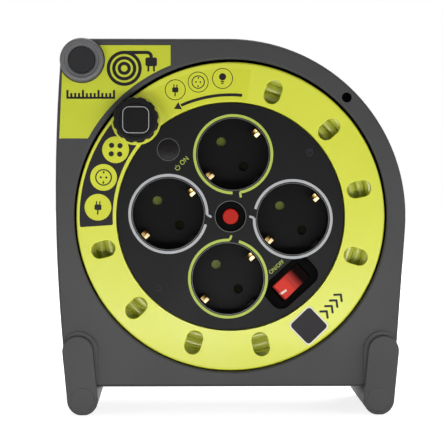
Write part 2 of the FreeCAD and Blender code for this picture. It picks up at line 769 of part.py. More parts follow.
def cut_outlet(body, end):
    """Half of the cable outlet, through the left side of the rim."""
    reach = D.outlet_wide / 2
    far = D.case_half_width + D.cut_past
    near = D.case_base_half - D.rim_wall * 3
    cut_prism(
        body, *between(reach * end, as_size(0.0)),
        Outline([
            (-far, -D.outlet_z - D.outlet_high / 2),
            (-near, -D.outlet_z - D.outlet_high / 2),
            (-near, -D.outlet_z + D.outlet_high / 2),
            (-far, -D.outlet_z + D.outlet_high / 2),
        ]),
    )


def make_front_shell():
    body = make_shell("front_shell", -1)
    opening = Circle(0.0, D.opening_rise, D.opening_radius)
    cut_prism(body, FRONT, PLATE_INSIDE, opening)
    round_edges(body, D.opening_round, lambda edge: lies_at_depth(edge, FRONT) and is_round(
        edge, D.opening_radius))
    sink = FRONT + D.screw_sink
    cut_prism(body, FRONT, sink, Circle(D.screw_x, D.screw_z, D.screw_hole))
    cut_prism(body, sink, 0.0, Circle(D.screw_x, D.screw_z, D.screw_shank + D.fit_gap))
    place(body)
    return finish(body)


def is_round(edge, radius):
    """True for an edge that lies on a circle of this radius."""
    curve = edge.Curve
    return isinstance(curve, Part.Circle) and abs(curve.Radius - radius.number) < 1e-4


def make_rear_shell():
    body = make_shell("rear_shell", 1)
    bolt_hole = Circle(0.0, 0.0, D.axle_bolt_radius + D.fit_gap)
    cut_prism(body, REAR_INSIDE, REAR, bolt_hole)
    cut_prism(body, 0.0, D.screw_sink, Circle(D.screw_x, D.screw_z, D.screw_shank))
    place(body)
    return finish(body)


def make_case_screw():
    """Pan-headed screw from the front's sunk hole into the rear shell's post."""
    seat = FRONT + D.screw_sink
    head = D.screw_hole - D.fit_gap
    body = turned("case_screw", [
        (0.0, seat - D.screw_head),
        (head - 0.6, seat - D.screw_head, 0.6),
        (head, seat - D.screw_head + 0.6),
        (head, seat),
        (D.screw_shank, seat),
        (D.screw_shank, D.screw_sink - 1.5),
        (D.screw_shank / 2, D.screw_sink - 0.3),
        (0.0, D.screw_sink - 0.3),
    ])
    cross_slot(body, seat - D.screw_head, D.screw_head / 2, head)
    place(body, D.screw_x, D.screw_z)
    return finish(body)


def cross_slot(body, front, deep, head):
    """A cross recess in a screw's head."""
    arm = head * 0.55
    half = head * 0.14
    cut_prism(body, front, front + deep, Outline([
        (arm, half), (half, half), (half, arm), (-half, arm), (-half, half), (-arm, half),
        (-arm, -half), (-half, -half), (-half, -arm), (half, -arm), (half, -half), (arm, -half),
    ]))


def make_cable_guide():
    """Black bush in the cable outlet: a flat tube with a flange inside the case."""
    half_wide = D.outlet_wide / 2 - D.fit_gap
    half_high = D.outlet_high / 2 - D.fit_gap
    outside = D.case_base_half + D.guide_out
    neck = outside - D.guide_neck
    body = start_body("cable_guide")
    mouth = half_high - D.guide_wall
    add_prism(body, -half_wide, half_wide, guide_box(outside, neck, half_high))
    lip_wide = half_wide + D.guide_wall
    add_prism(body, -lip_wide, lip_wide, guide_box(
        neck, neck - D.guide_wall, half_high + D.guide_wall))
    inner_wide = half_wide - D.guide_wall
    cut_prism(body, -inner_wide, inner_wide, guide_box(outside + 1.0, neck - D.guide_through, mouth))
    round_edges(body, D.guide_wall * 0.45, lambda edge: edge.BoundBox.XLength < 1e-4
                and abs(edge.BoundBox.XMin + outside.number) < 1e-4)
    place(body, 0.0, -D.outlet_z)
    return finish(body)


def guide_box(outer, inner, half_high):
    return Outline([
        (-outer, -half_high), (-inner, -half_high), (-inner, half_high), (-outer, half_high),
    ])


def make_grip():
    """Carry grip: core between the plates, soft sleeve, end rings, plugs and a long bolt."""
    gap = D.run_gap
    bore = D.grip_bolt + D.fit_gap
    core = turned("grip_core", [
        (bore, PLATE_INSIDE), (D.grip_core_radius, PLATE_INSIDE),
        (D.grip_core_radius, REAR_INSIDE), (bore, REAR_INSIDE),
    ])
    place(core, -D.grip_x, D.grip_z)
    finish(core)
    finish(make_sleeve(PLATE_INSIDE + gap, REAR_INSIDE - gap))
    for name, end in ENDS:
        finish(make_end_ring(name, end))
    make_grip_bolt()


def make_sleeve(front, back):
    """Soft sleeve with shallow finger grooves turned into it."""
    count = 9
    step = (back - front) / count
    inner = D.grip_core_radius + D.fit_gap
    groove = 0.6
    corners = [
        (inner, front),
        (D.grip_radius - 1.0, front, 1.0),
        (D.grip_radius, front + 1.0),
    ]
    for number in range(1, count):
        middle = front + step * number
        corners.append((D.grip_radius, middle - 0.8))
        corners.append((D.grip_radius - groove, middle - 0.3))
        corners.append((D.grip_radius - groove, middle + 0.3))
        corners.append((D.grip_radius, middle + 0.8))
    corners.append((D.grip_radius, back - 1.0, 1.0))
    corners.append((D.grip_radius - 1.0, back))
    corners.append((inner, back))
    sleeve = turned("grip_sleeve", corners)
    place(sleeve, -D.grip_x, D.grip_z)
    return sleeve


def make_end_ring(name, end):
    """Round end ring on the plate's outside, with the plug's seat in it."""
    plug = D.grip_plug_radius + D.fit_gap
    rim = D.grip_end_radius
    edge = 1.6
    tip = D.proud
    seat = tip - D.plug_thick - D.plug_sunk
    step = D.proud - 0.8
    body = turned("grip_" + name + "_ring", [
        (radius, end_depth(end, outward)) + tuple(rest) for radius, outward, *rest in (
            (D.grip_bolt + D.fit_gap, 0.0),
            (rim, 0.0),
            (rim, tip - edge, edge * end),
            (rim - edge, tip),
            (rim - edge - 0.8, tip),
            (rim - edge - 1.4, step),
            (plug + 0.9, step),
            (plug, step - 0.9),
            (plug, seat),
            (D.grip_head, seat),
            (D.grip_head, 1.0),
            (D.grip_bolt + D.fit_gap, 1.0),
        )
    ])
    place(body, -D.grip_x, D.grip_z)
    return body


def make_grip_bolt():
    """Bolt through the grip with a round head in front and a nut behind, under the plugs."""
    head = D.grip_head - D.fit_gap
    start = end_depth(-1, 1.0)
    stop = end_depth(1, 1.0)
    bolt = turned("grip_bolt", [
        (0.0, start - D.grip_head_high), (head, start - D.grip_head_high), (head, start),
        (D.grip_bolt, start), (D.grip_bolt, stop), (0.0, stop),
    ])
    place(bolt, -D.grip_x, D.grip_z)
    finish(bolt)
    nut = slab("grip_nut", stop, stop + D.grip_head_high, hexagon(head))
    place(nut, -D.grip_x, D.grip_z)
    finish(nut)
    plugs = []
    for name, end in ENDS:
        low = D.proud - D.plug_thick - D.plug_sunk
        high = D.proud - D.plug_sunk
        radius = D.grip_plug_radius
        plug = turned("grip_plug_" + name, [
            (0.0, end_depth(end, low)), (radius, end_depth(end, low)),
            (radius, end_depth(end, high - 0.4)), (radius - 0.4, end_depth(end, high)),
            (0.0, end_depth(end, high)),
        ])
        place(plug, -D.grip_x, D.grip_z)
        plugs.append(plug)
    finish(group("grip_plugs", plugs))


def hexagon(reach):
    """A nut's outline: reach is the distance from its middle to a corner."""
    corners = []
    for number in range(6):
        corners.append(polar(reach, 60.0 * number))
    return Outline(corners)


def make_feet():
    """Foot bars from front to rear under the case, their covers, plugs and screws."""
    screws = []
    plugs = []
    for name, side in SIDES:
        finish(make_foot_bar(name, side))
        for where, end in ENDS:
            finish(make_foot_cover(name, side, where, end))
            screws.append(make_foot_screw(name, side, where, end))
            plugs.append(make_foot_plug(name, side, where, end))
    finish(group("foot_screws", screws))
    finish(group("foot_plugs", plugs))


def make_foot_bar(name, side):
    """Round bar cut flat under the case, with a narrow flat that stands on the floor."""
    front = end_depth(-1, D.foot_seat)
    back = end_depth(1, D.foot_seat)
    body = slab(name + "_foot_bar", front, back, Circle(0.0, 0.0, D.foot_radius))
    wide = D.foot_radius * 2
    top = D.foot_low_z - D.case_drop
    cut_prism(body, front, back, Outline([
        (-wide, top), (wide, top), (wide, wide), (-wide, wide),
    ]))
    cut_floor_flat(body, front, back)
    bore = Circle(0.0, 0.0, D.screw_shank)
    deep = D.foot_screw_long + 1.0
    cut_prism(body, front, front + deep, bore)
    cut_prism(body, back - deep, back, bore)
    place(body, D.foot_low_x * side, -D.foot_low_z)
    return body


def cut_floor_flat(body, front, back):
    """Takes the foot's round down to the flat that stands on the floor."""
    low = D.foot_radius - D.floor_flat
    wide = D.foot_radius
    cut_prism(body, front, back, Outline([
        (-wide, -wide * 2), (wide, -wide * 2), (wide, -low), (-wide, -low),
    ]))


def make_foot_cover(name, side, where, end):
    """Round-ended cover on the seat, with a round recess for the plug over its screw."""
    outer = end_depth(end, D.proud)
    inner = end_depth(end, D.foot_seat)
    body = start_body("%s_foot_%s_cover" % (name, where))
    shift_x = (D.foot_high_x - D.foot_low_x) * side
    shift_z = D.foot_low_z - D.foot_high_z
    add_prism(body, *between(outer, inner), obround(shift_x, shift_z, 0.0, 0.0, D.foot_radius))
    round_edges(body, D.cover_round, lambda edge: lies_at_depth(edge, outer))
    cut_floor_flat(body, *between(outer, inner))
    recess = end_depth(end, D.proud - D.plug_thick)
    cut_prism(body, *between(outer, recess), Circle(0.0, 0.0, D.foot_plug_radius + D.fit_gap))
    cut_prism(body, *between(recess, inner), Circle(0.0, 0.0, D.screw_shank + D.fit_gap))
    place(body, D.foot_low_x * side, -D.foot_low_z)
    return body


def make_foot_screw(name, side, where, end):
    """Countersunk screw through the cover into the bar."""
    head = end_depth(end, D.proud - D.plug_thick)
    head_radius = D.screw_shank + 0.1
    tip = end_depth(end, D.foot_seat - D.foot_screw_long)
    shank = D.screw_shank - 0.02
    body = turned("foot_screw_%s_%s" % (name, where), [
        (0.0, head), (head_radius, head), (shank, end_depth(end, D.foot_seat + 0.4)),
        (shank, tip), (0.0, tip),
    ])
    place(body, D.foot_low_x * side, -D.foot_low_z)
    return body


def make_foot_plug(name, side, where, end):
    """Round plug that closes the cover's recess flush with its face."""
    body = slab(
        "foot_plug_%s_%s" % (name, where),
        *between(end_depth(end, D.proud - 0.1), end_depth(end, D.proud - D.plug_thick)),
        Circle(0.0, 0.0, D.foot_plug_radius),
    )
    place(body, D.foot_low_x * side, -D.foot_low_z)
    return body


def make_axle():
    """Axle on the rear shell, with its bolt, nut and retaining washer."""
    bore = D.axle_bolt_radius + D.fit_gap
    flange_front = REAR_INSIDE - D.axle_flange_thick
    shoulder = WEB_BACK + D.run_gap
    tip = BUSH_FRONT - D.run_gap
    axle = turned("axle", [
        (bore, tip), (D.axle_radius - 0.5, tip), (D.axle_radius, tip + 0.5),
        (D.axle_radius, shoulder), (D.axle_radius + D.bush_wall, shoulder),
        (D.axle_radius + D.bush_wall, flange_front), (D.axle_flange, flange_front),
        (D.axle_flange, REAR_INSIDE), (bore, REAR_INSIDE),
    ])
    place(axle)
    finish(axle)
    wide = BUSH_RADIUS + D.boss_wall * 0.7
    washer = turned("axle_washer", [
        (bore, tip - D.washer_thick), (wide, tip - D.washer_thick), (wide, tip), (bore, tip),
    ])
    place(washer)
    finish(washer)
    nut_back = tip - D.washer_thick
    nut_front = nut_back - D.nut_high
    bolt = turned("axle_bolt", [
        (0.0, nut_front - 0.6), (D.axle_bolt_radius, nut_front - 0.6),
        (D.axle_bolt_radius, REAR), (D.axle_bolt_head, REAR),
        (D.axle_bolt_head, REAR + D.bolt_head_high - 1.0, 1.0),
        (D.axle_bolt_head - 1.0, REAR + D.bolt_head_high), (0.0, REAR + D.bolt_head_high),
    ])
    cut_prism(bolt, REAR + D.bolt_head_high / 3, REAR + D.bolt_head_high, hexagon(
        D.axle_bolt_radius * 0.9))
    place(bolt)
    finish(bolt)
    nut = slab("axle_nut", nut_front, nut_back, hexagon(D.axle_bolt_radius * 1.85), Circle(
        0.0, 0.0, bore))
    place(nut)
    finish(nut)


def make_case_label():
    """Thin label on the face's upper left corner, cut round the grip and the opening."""
    top, low = D.label_top, D.label_bottom
    across_right = root(D.label_radius * D.label_radius - D.label_right * D.label_right)
    across_low = root(D.label_radius * D.label_radius - low * low)
    left = D.case_half_width - 2.6
    upper_left = left - D.face_round
    edge = D.grip_end_radius + 0.7
    rise = top - D.grip_z
    aside = upper_left - D.grip_x
    body = slab("case_label", FRONT - D.label_thick, FRONT, Outline([
        (root(edge * edge - rise * rise) - D.grip_x, top),
        (-D.label_right, top),
        (-D.label_right, across_right, D.label_radius),
        (-across_low, low),
        (-left, low),
        (-upper_left, D.grip_z - root(edge * edge - aside * aside), edge),
        (-D.grip_x, D.grip_z - edge, edge),
    ]))
    place(body)
    return finish(body)


SOCKETS = (("top", 90.0), ("right", 0.0), ("bottom", -90.0), ("left", 180.0))
PIN_ANGLES = (135.0, -45.0)
CLIP_ANGLES = (45.0, -135.0)


def add_across(body, half, *loops):
    """Material in x and depth, as far to both sides of the middle plane."""
    pad = body.newObject("PartDesign::Pad", body.Label + "_pad")
    pad.Profile = profile_sketch(body, "XY_Plane", -as_size(half), loops)
    bind(pad, "Length", as_size(half) * 2)
    return pad


def cut_across(body, half, *loops):
    """A cut in x and depth, as far to both sides of the middle plane."""
    pocket = body.newObject("PartDesign::Pocket", body.Label + "_pocket")
    pocket.Profile = profile_sketch(body, "XY_Plane", as_size(half), loops)
    bind(pocket, "Length", as_size(half) * 2)
    return pocket


def cut_along_x(body, start, stop, *loops):
    """A cut in depth and height, from one x to a greater one."""
    pocket = body.newObject("PartDesign::Pocket", body.Label + "_pocket")
    pocket.Profile = profile_sketch(body, "YZ_Plane", as_size(stop), loops)
    bind(pocket, "Length", as_size(stop) - start)
    return pocket


def profile_sketch(body, plane, offset, loops):
    sketch = body.newObject("Sketcher::SketchObject", body.Label + "_profile")
    sketch.AttachmentSupport = [(origin_feature(body, plane), "")]
    sketch.MapMode = "FlatFace"
    sketch.AttachmentOffset = Placement(Vector(0, 0, offset.number), Rotation())
    bind(sketch, "AttachmentOffset.Base.z", offset)
    for loop in loops:
        loop.draw(sketch)
    return sketch


def make_front_ring():
    """Yellow-green front flange with eight slots, a lip on the hub and the knob's seat."""
    body = slab(
        "front_ring", RING_FRONT, RING_BACK,
        Circle(0.0, 0.0, D.ring_radius), Circle(0.0, 0.0, D.ring_bore),
    )
    round_edges(body, D.ring_round, lambda edge: lies_at_depth(edge, RING_FRONT) and is_round(
        edge, D.ring_radius))
    add_prism(
        body, RING_BACK, PANEL_BACK,
        Circle(0.0, 0.0, D.ring_bore + D.ring_lip), Circle(0.0, 0.0, D.ring_bore),
    )
    add_prism(
        body, RING_BACK, RING_BACK + D.ring_skirt,
        Circle(0.0, 0.0, D.ring_radius), Circle(0.0, 0.0, D.ring_radius - D.skirt_wall),
    )
    knob_x, knob_z = polar(D.knob_circle, D.knob_angle)
    seat = RING_FRONT - D.knob_seat_high
    add_prism(body, seat, RING_FRONT + D.ring_thick / 2, Circle(knob_x, knob_z, D.knob_seat))
    beyond = Circle(0.0, 0.0, D.ring_radius + D.knob_seat)
    cut_prism(body, seat, RING_FRONT, beyond, Circle(0.0, 0.0, D.ring_radius - D.ring_round))
    cut_prism(body, RING_FRONT, RING_BACK, beyond, Circle(0.0, 0.0, D.ring_radius))
    cut_prism(body, seat, RING_BACK, Circle(knob_x, knob_z, D.knob_pin + D.shaft_gap))
    half = (D.slot_long - D.slot_wide) / 2
    for number in range(9):
        if number == 4:
            continue
        angle = D.slot_first - D.slot_pitch * number
        inner = polar(D.slot_circle - half, angle)
        outer = polar(D.slot_circle + half, angle)
        cut_prism(body, RING_FRONT, RING_BACK, obround(*inner, *outer, D.slot_wide / 2))
    round_edges(body, D.slot_round, lambda edge: lies_at_depth(edge, RING_FRONT) and slot_edge(edge))
    place_on_drum(body)
    return finish(body)


def slot_edge(edge):
    """True for an edge that lies among the ring's slots."""
    middle = edge.BoundBox.Center
    reach = math.hypot(middle.x, middle.z)
    inner = (D.slot_circle - D.slot_long / 2).number - 0.1
    outer = (D.slot_circle + D.slot_long / 2).number + 0.1
    longest = D.slot_long.number
    return inner < reach < outer and edge.BoundBox.DiagonalLength < longest


def make_hub():
    """Hub with its front collar, inner ledge, web, bearing boss and posts."""
    inner = D.hub_radius - D.hub_wall
    bore = BUSH_RADIUS + D.shaft_gap
    boss = bore + D.boss_wall
    ledge = inner - D.ledge_wide
    body = turned("hub", [
        (inner, PANEL_BACK),
        (D.ring_bore + D.ring_lip, PANEL_BACK),
        (D.ring_bore + D.ring_lip, COLLAR_BACK),
        (D.hub_radius, COLLAR_BACK),
        (D.hub_radius, CHEEK_FRONT),
        (inner, CHEEK_FRONT),
        (inner, WEB_BACK),
        (bore, WEB_BACK),
        (bore, BUSH_FRONT),
        (boss, BUSH_FRONT),
        (boss, WEB_FRONT),
        (inner, WEB_FRONT),
        (inner, COVER_BACK + D.collar_thick),
        (ledge, COVER_BACK + D.collar_thick),
        (ledge, COVER_BACK),
        (inner, COVER_BACK),
    ])
    for angle in (D.panel_screw_first, D.panel_screw_second):
        x, z = polar(D.panel_screw_circle, angle)
        end = PANEL_BACK + D.panel_post_long
        add_prism(body, PANEL_BACK, end, Circle(x, z, D.panel_post))
        cut_prism(body, PANEL_BACK, end - 1.0, Circle(x, z, D.panel_screw))
    for number in range(4):
        x, z = polar(D.cheek_screw_circle, 45.0 + 90.0 * number)
        add_prism(body, WEB_BACK - D.web_thick / 2, CHEEK_FRONT, Circle(x, z, D.cheek_post))
        cut_prism(body, WEB_BACK, CHEEK_FRONT, Circle(x, z, D.cheek_screw))
    cut_along_x(
        body, -D.hub_radius - 1.0, -inner + 1.0,
        Circle(TAIL_DEPTH, 0.0, D.cable_radius + D.run_gap),
    )
    place_on_drum(body)
    return finish(body)


def make_rear_cheek():
    """Rear flange with a spigot in the hub's end."""
    spigot = D.hub_radius - D.hub_wall - D.fit_gap
    body = turned("rear_cheek", [
        (D.cheek_bore, CHEEK_BACK),
        (D.cheek_bore, CHEEK_FRONT),
        (spigot - D.hub_wall, CHEEK_FRONT),
        (spigot - D.hub_wall, CHEEK_FRONT - D.cheek_thick),
        (spigot, CHEEK_FRONT - D.cheek_thick),
        (spigot, CHEEK_FRONT),
        (D.cheek_radius, CHEEK_FRONT),
        (D.cheek_radius, CHEEK_BACK - 0.8, 0.8),
        (D.cheek_radius - 0.8, CHEEK_BACK),
    ])
    screws = []
    for number in range(4):
        x, z = polar(D.cheek_screw_circle, 45.0 + 90.0 * number)
        cut_prism(body, CHEEK_FRONT, CHEEK_BACK, Circle(x, z, D.cheek_head + D.fit_gap))
        add_prism(
            body, CHEEK_FRONT, CHEEK_FRONT + D.cheek_thick / 3,
            Circle(x, z, D.cheek_head + D.fit_gap + 0.2), Circle(x, z, D.cheek_screw + D.fit_gap),
        )
        screws.append(make_cheek_screw(number, x, z))
    place_on_drum(body)
    finish(body)
    finish(group("cheek_screws", screws))


def make_cheek_screw(number, x, z):
    seat = CHEEK_FRONT + D.cheek_thick / 3
    tip = WEB_BACK + 1.0
    shank = D.cheek_screw - 0.02
    head = CHEEK_BACK - 0.1
    screw = turned("cheek_screw_%d" % (number + 1), [
        (0.0, tip), (shank, tip), (shank, seat), (D.cheek_head, seat), (D.cheek_head, head),
        (0.0, head),
    ])
    place_on_drum(screw, x, z)
    return screw


def make_bush():
    """Bearing bush pressed into the hub's boss."""
    inner = D.axle_radius + D.shaft_gap
    bush = turned("bearing_bush", [
        (inner, BUSH_FRONT), (BUSH_RADIUS, BUSH_FRONT), (BUSH_RADIUS, WEB_BACK),
        (inner, WEB_BACK),
    ])
    place_on_drum(bush)
    return finish(bush)


def switch_turn():
    """Turn of the switch's own frame, whose x runs along the panel's edge."""
    return -(D.switch_angle + 90.0)


def make_panel():
    """Black panel: four socket openings, reset dish, lamp hole and switch dish."""
    body = slab(
        "socket_panel", PANEL_FRONT, PANEL_BACK, Circle(0.0, 0.0, D.ring_bore - D.panel_gap)
    )
    for _, angle in SOCKETS:
        x, z = polar(D.socket_circle, angle)
        cut_prism(body, PANEL_FRONT, PANEL_BACK, Circle(x, z, D.socket_radius))
    lamp_x, lamp_z = polar(D.lamp_circle, D.lamp_angle)
    cut_prism(body, PANEL_FRONT, PANEL_BACK, Circle(lamp_x, lamp_z, D.lamp_radius + D.fit_gap))
    reset_floor = PANEL_FRONT + D.reset_dish_depth
    cut_prism(body, PANEL_FRONT, reset_floor, Circle(0.0, 0.0, D.reset_dish))
    switch_x, switch_z = polar(D.switch_circle, D.switch_angle)
    along = D.switch_angle + 90.0
    cut_prism(body, PANEL_FRONT, DISH_FLOOR, rounded_box(
        switch_x, switch_z, D.dish_long, D.dish_wide, D.dish_corner, along))
    round_edges(body, D.panel_round, lambda edge: lies_at_depth(edge, PANEL_FRONT))
    cut_prism(body, reset_floor, PANEL_BACK, Circle(0.0, 0.0, D.reset_radius + D.run_gap))
    cut_prism(body, DISH_FLOOR, PANEL_BACK, rounded_box(
        switch_x, switch_z, D.rocker_long + D.rocker_room * 2, D.rocker_wide + D.run_gap * 2,
        0.6, along))
    for angle in (D.panel_screw_first, D.panel_screw_second):
        x, z = polar(D.panel_screw_circle, angle)
        seat = PANEL_FRONT + D.panel_head_deep
        cut_prism(body, PANEL_FRONT, seat, Circle(x, z, D.panel_head + D.fit_gap))
        cut_prism(body, seat, PANEL_BACK, Circle(x, z, D.panel_screw + D.fit_gap))
    place_on_drum(body)
    finish(body)
    screws = []
    for number, angle in enumerate((D.panel_screw_first, D.panel_screw_second)):
        x, z = polar(D.panel_screw_circle, angle)
        screws.append(make_panel_screw(number, x, z))
    finish(group("panel_screws", screws))


def make_panel_screw(number, x, z):
    seat = PANEL_FRONT + D.panel_head_deep
    top = PANEL_FRONT + 0.3
    tip = PANEL_BACK + D.panel_post_long - 2.0
    shank = D.panel_screw - 0.02
    screw = turned("panel_screw_%d" % (number + 1), [
        (0.0, top), (D.panel_head, top), (D.panel_head, seat), (shank, seat), (shank, tip),
        (0.0, tip),
    ])
    cross_slot(screw, top, D.panel_head_deep / 2, D.panel_head)
    place_on_drum(screw, x, z)
    return screw


def socket_place(angle):
    return polar(D.socket_circle, angle)


def make_socket_cups():
    """Four socket cups with guide ribs, pin holes, clip slots and a pin for the shutter."""
    for name, angle in SOCKETS:
        body = slab(
            "socket_cup_" + name, PANEL_BACK, CARRIER_FRONT,
            Circle(0.0, 0.0, D.socket_radius + D.cup_wall),
        )
        cut_prism(body, PANEL_BACK, RECESS_FLOOR, Circle(0.0, 0.0, D.socket_radius))
        cut_prism(body, CUP_BACK, CARRIER_FRONT, Circle(0.0, 0.0, D.socket_radius - D.cup_wall))
        for pin_angle in PIN_ANGLES:
            rib_x, rib_z = polar(D.socket_radius - D.rib_high / 2 + 0.3, pin_angle)
            add_prism(body, PANEL_BACK + 1.0, RECESS_FLOOR, rounded_box(
                rib_x, rib_z, D.rib_high + 0.6, D.rib_wide, 0.5, pin_angle))
            hole_x, hole_z = polar(D.pin_spacing / 2, pin_angle)
            cut_prism(body, RECESS_FLOOR, CUP_BACK, Circle(hole_x, hole_z, D.pin_hole))
        for clip_angle in CLIP_ANGLES:
            slot_x, slot_z = polar(D.clip_half, clip_angle)
            cut_prism(body, RECESS_FLOOR, CUP_BACK, rounded_box(
                slot_x, slot_z, D.clip_thick + D.run_gap * 2, D.clip_wide + D.run_gap * 2, 0.2,
                clip_angle))
        add_prism(body, CUP_BACK, SHUTTER_BACK, Circle(0.0, 0.0, D.shutter_pin))
        place_on_drum(body, *socket_place(angle))
        finish(body)


def make_shutters():
    """Safety shutters: discs behind the floors whose holes stand aside of the pin holes."""
    for name, angle in SOCKETS:
        loops = [
            Circle(0.0, 0.0, D.shutter_radius),
            Circle(0.0, 0.0, D.shutter_pin + D.shaft_gap),
        ]
        for pin_angle in PIN_ANGLES:
            x, z = polar(D.pin_spacing / 2, D.shutter_swing + pin_angle)
            loops.append(Circle(x, z, D.pin_hole + D.run_gap))
        body = slab("shutter_" + name, SHUTTER_FRONT, SHUTTER_BACK, *loops)
        place_on_drum(body, *socket_place(angle))
        finish(body)


def make_earth_clips():
    """Earth clips: one brass strip per socket, its two ends standing in the recess."""
    clips = []
    outer = D.clip_half + D.clip_thick / 2
    inner = D.clip_half - D.clip_thick / 2
    tip = RECESS_FLOOR - D.clip_reach
    nose = RECESS_FLOOR - D.clip_reach * 0.62
    root_end = RECESS_FLOOR - 1.0
    right_side = [
        (outer, root_end),
        (outer - D.clip_nose, nose),
        (outer - 0.3, tip),
        (inner - 0.3, tip),
        (inner - D.clip_nose, nose),
        (inner, root_end),
        (inner, STRAP_FRONT),
    ]
    left_side = [(-x, depth) for x, depth in reversed(right_side)]
    corners = [(outer, STRAP_BACK)] + right_side + left_side + [(-outer, STRAP_BACK)]
    for name, angle in SOCKETS:
        body = start_body("earth_clip_" + name)
        add_across(body, D.clip_wide / 2, Outline(corners))
        place_on_drum(body, *socket_place(angle), -as_size(45.0))
        clips.append(body)
    finish(group("earth_clips", clips))


def make_contacts():
    """Plate behind the sockets, the pin contacts in it and the bars that join them."""
    body = slab("contact_carrier", CARRIER_FRONT, CARRIER_BACK, Circle(0.0, 0.0, D.carrier_radius))
    cut_prism(body, CARRIER_FRONT, CARRIER_BACK, square_outline(D.cutout_half + D.run_gap))
    contacts = []
    for name, angle in SOCKETS:
        x, z = socket_place(angle)
        for pole, pin_angle in enumerate(PIN_ANGLES):
            pin_x, pin_z = polar(D.pin_spacing / 2, pin_angle)
            cut_prism(body, CARRIER_FRONT, CARRIER_BACK, Circle(
                x + pin_x, z + pin_z, D.contact_radius + D.shaft_gap))
            contacts.append(make_contact(name, pole, x + pin_x, z + pin_z))
        for clip_angle in CLIP_ANGLES:
            slot_x, slot_z = polar(D.clip_half, clip_angle)
            cut_prism(body, CARRIER_FRONT, CARRIER_BACK, rounded_box(
                x + slot_x, z + slot_z, D.clip_thick + D.run_gap * 2,
                D.clip_wide + D.run_gap * 2, 0.2, clip_angle))
    lamp_x, lamp_z = polar(D.lamp_circle, D.lamp_angle)
    cut_prism(body, CARRIER_FRONT, CARRIER_BACK, Circle(lamp_x, lamp_z, D.lamp_radius))
    switch_x, switch_z = polar(D.switch_circle, D.switch_angle)
    cut_prism(body, CARRIER_FRONT, CARRIER_BACK, rounded_box(
        switch_x, switch_z, switch_long() + D.run_gap * 2, switch_wide() + D.run_gap * 2, 0.6,
        D.switch_angle + 90.0))
    place_on_drum(body)
    finish(body)
    finish(group("pin_contacts", contacts))
    make_bar("live_bar", CONTACT_BACK, polar(D.pin_spacing / 2, PIN_ANGLES[0]))
    make_bar("neutral_bar", BAR_B_FRONT, polar(D.pin_spacing / 2, PIN_ANGLES[1]))
    make_bar("earth_bar", STRAP_BACK, (as_size(0.0), as_size(0.0)))


def square_outline(half):
    return Outline([(half, -half), (half, half), (-half, half), (-half, -half)])


def make_contact(name, pole, x, z):
    """Sleeve that grips a plug's pin; the second pole's reaches its deeper bar."""
    outer = D.contact_radius
    inner = outer - D.contact_wall
    end = CONTACT_BACK if pole == 0 else BAR_B_FRONT
    flange = CARRIER_BACK + D.contact_wall
    contact = turned("contact_%s_%d" % (name, pole + 1), [
        (inner, CARRIER_FRONT + 0.2), (outer, CARRIER_FRONT + 0.2), (outer, CARRIER_BACK),
        (outer + 1.0, CARRIER_BACK), (outer + 1.0, flange), (outer, flange), (outer, end),
        (0.0, end), (0.0, end - D.contact_wall), (inner, end - D.contact_wall),
    ])
    place_on_drum(contact, x, z)
    return contact


def make_bar(label, front, centre):
    """Flat ring that joins one pole of the four sockets."""
    wide = D.bar_wide / 2
    body = slab(
        label, front, front + D.bar_thick,
        Circle(centre[0], centre[1], D.socket_circle + wide),
        Circle(centre[0], centre[1], D.socket_circle - wide),
    )
    place_on_drum(body)
    finish(body)


def make_reset():
    """Thermal cut-out behind the panel's middle and its push-in button."""
    bore = D.reset_radius + D.run_gap
    body = slab("thermal_cutout", PANEL_BACK, PANEL_BACK + D.cutout_long, square_outline(
        D.cutout_half))
    stroke = D.reset_travel + D.run_gap + 2.0
    cut_prism(body, PANEL_BACK, PANEL_BACK + stroke, Circle(0.0, 0.0, bore))
    place_on_drum(body)
    finish(body)
    top = PANEL_FRONT - D.reset_proud
    edge = 0.7
    button = turned("reset_button", [
        (0.0, top), (D.reset_radius - edge, top, edge), (D.reset_radius, top + edge),
        (D.reset_radius, PANEL_BACK + 2.0), (0.0, PANEL_BACK + 2.0),
    ])
    place_on_drum(button)
    finish(button)


def make_lamp():
    """Lamp body behind the panel and its low domed lens."""
    x, z = polar(D.lamp_circle, D.lamp_angle)
    radius = D.lamp_radius
    flange = PANEL_BACK + 1.0
    rise = D.lamp_dome
    sphere = (radius * radius + rise * rise) / (rise * 2)
    lens = turned("lamp_lens", [
        (0.0, PANEL_FRONT - rise, sphere), (radius, PANEL_FRONT), (radius, PANEL_BACK),
        (radius + 0.6, PANEL_BACK), (radius + 0.6, flange), (0.0, flange),
    ])
    place_on_drum(lens, x, z)
    finish(lens)
    body = turned("lamp_body", [
        (0.0, flange), (radius - 1.0, flange), (radius - 1.0, PANEL_BACK + D.lamp_long),
        (0.0, PANEL_BACK + D.lamp_long),
    ])
    place_on_drum(body, x, z)
    finish(body)


def switch_long():
    return D.rocker_long + D.rocker_room * 2 + D.switch_wall * 2


def switch_wide():
    return D.rocker_wide + D.run_gap * 2 + D.switch_wall * 2


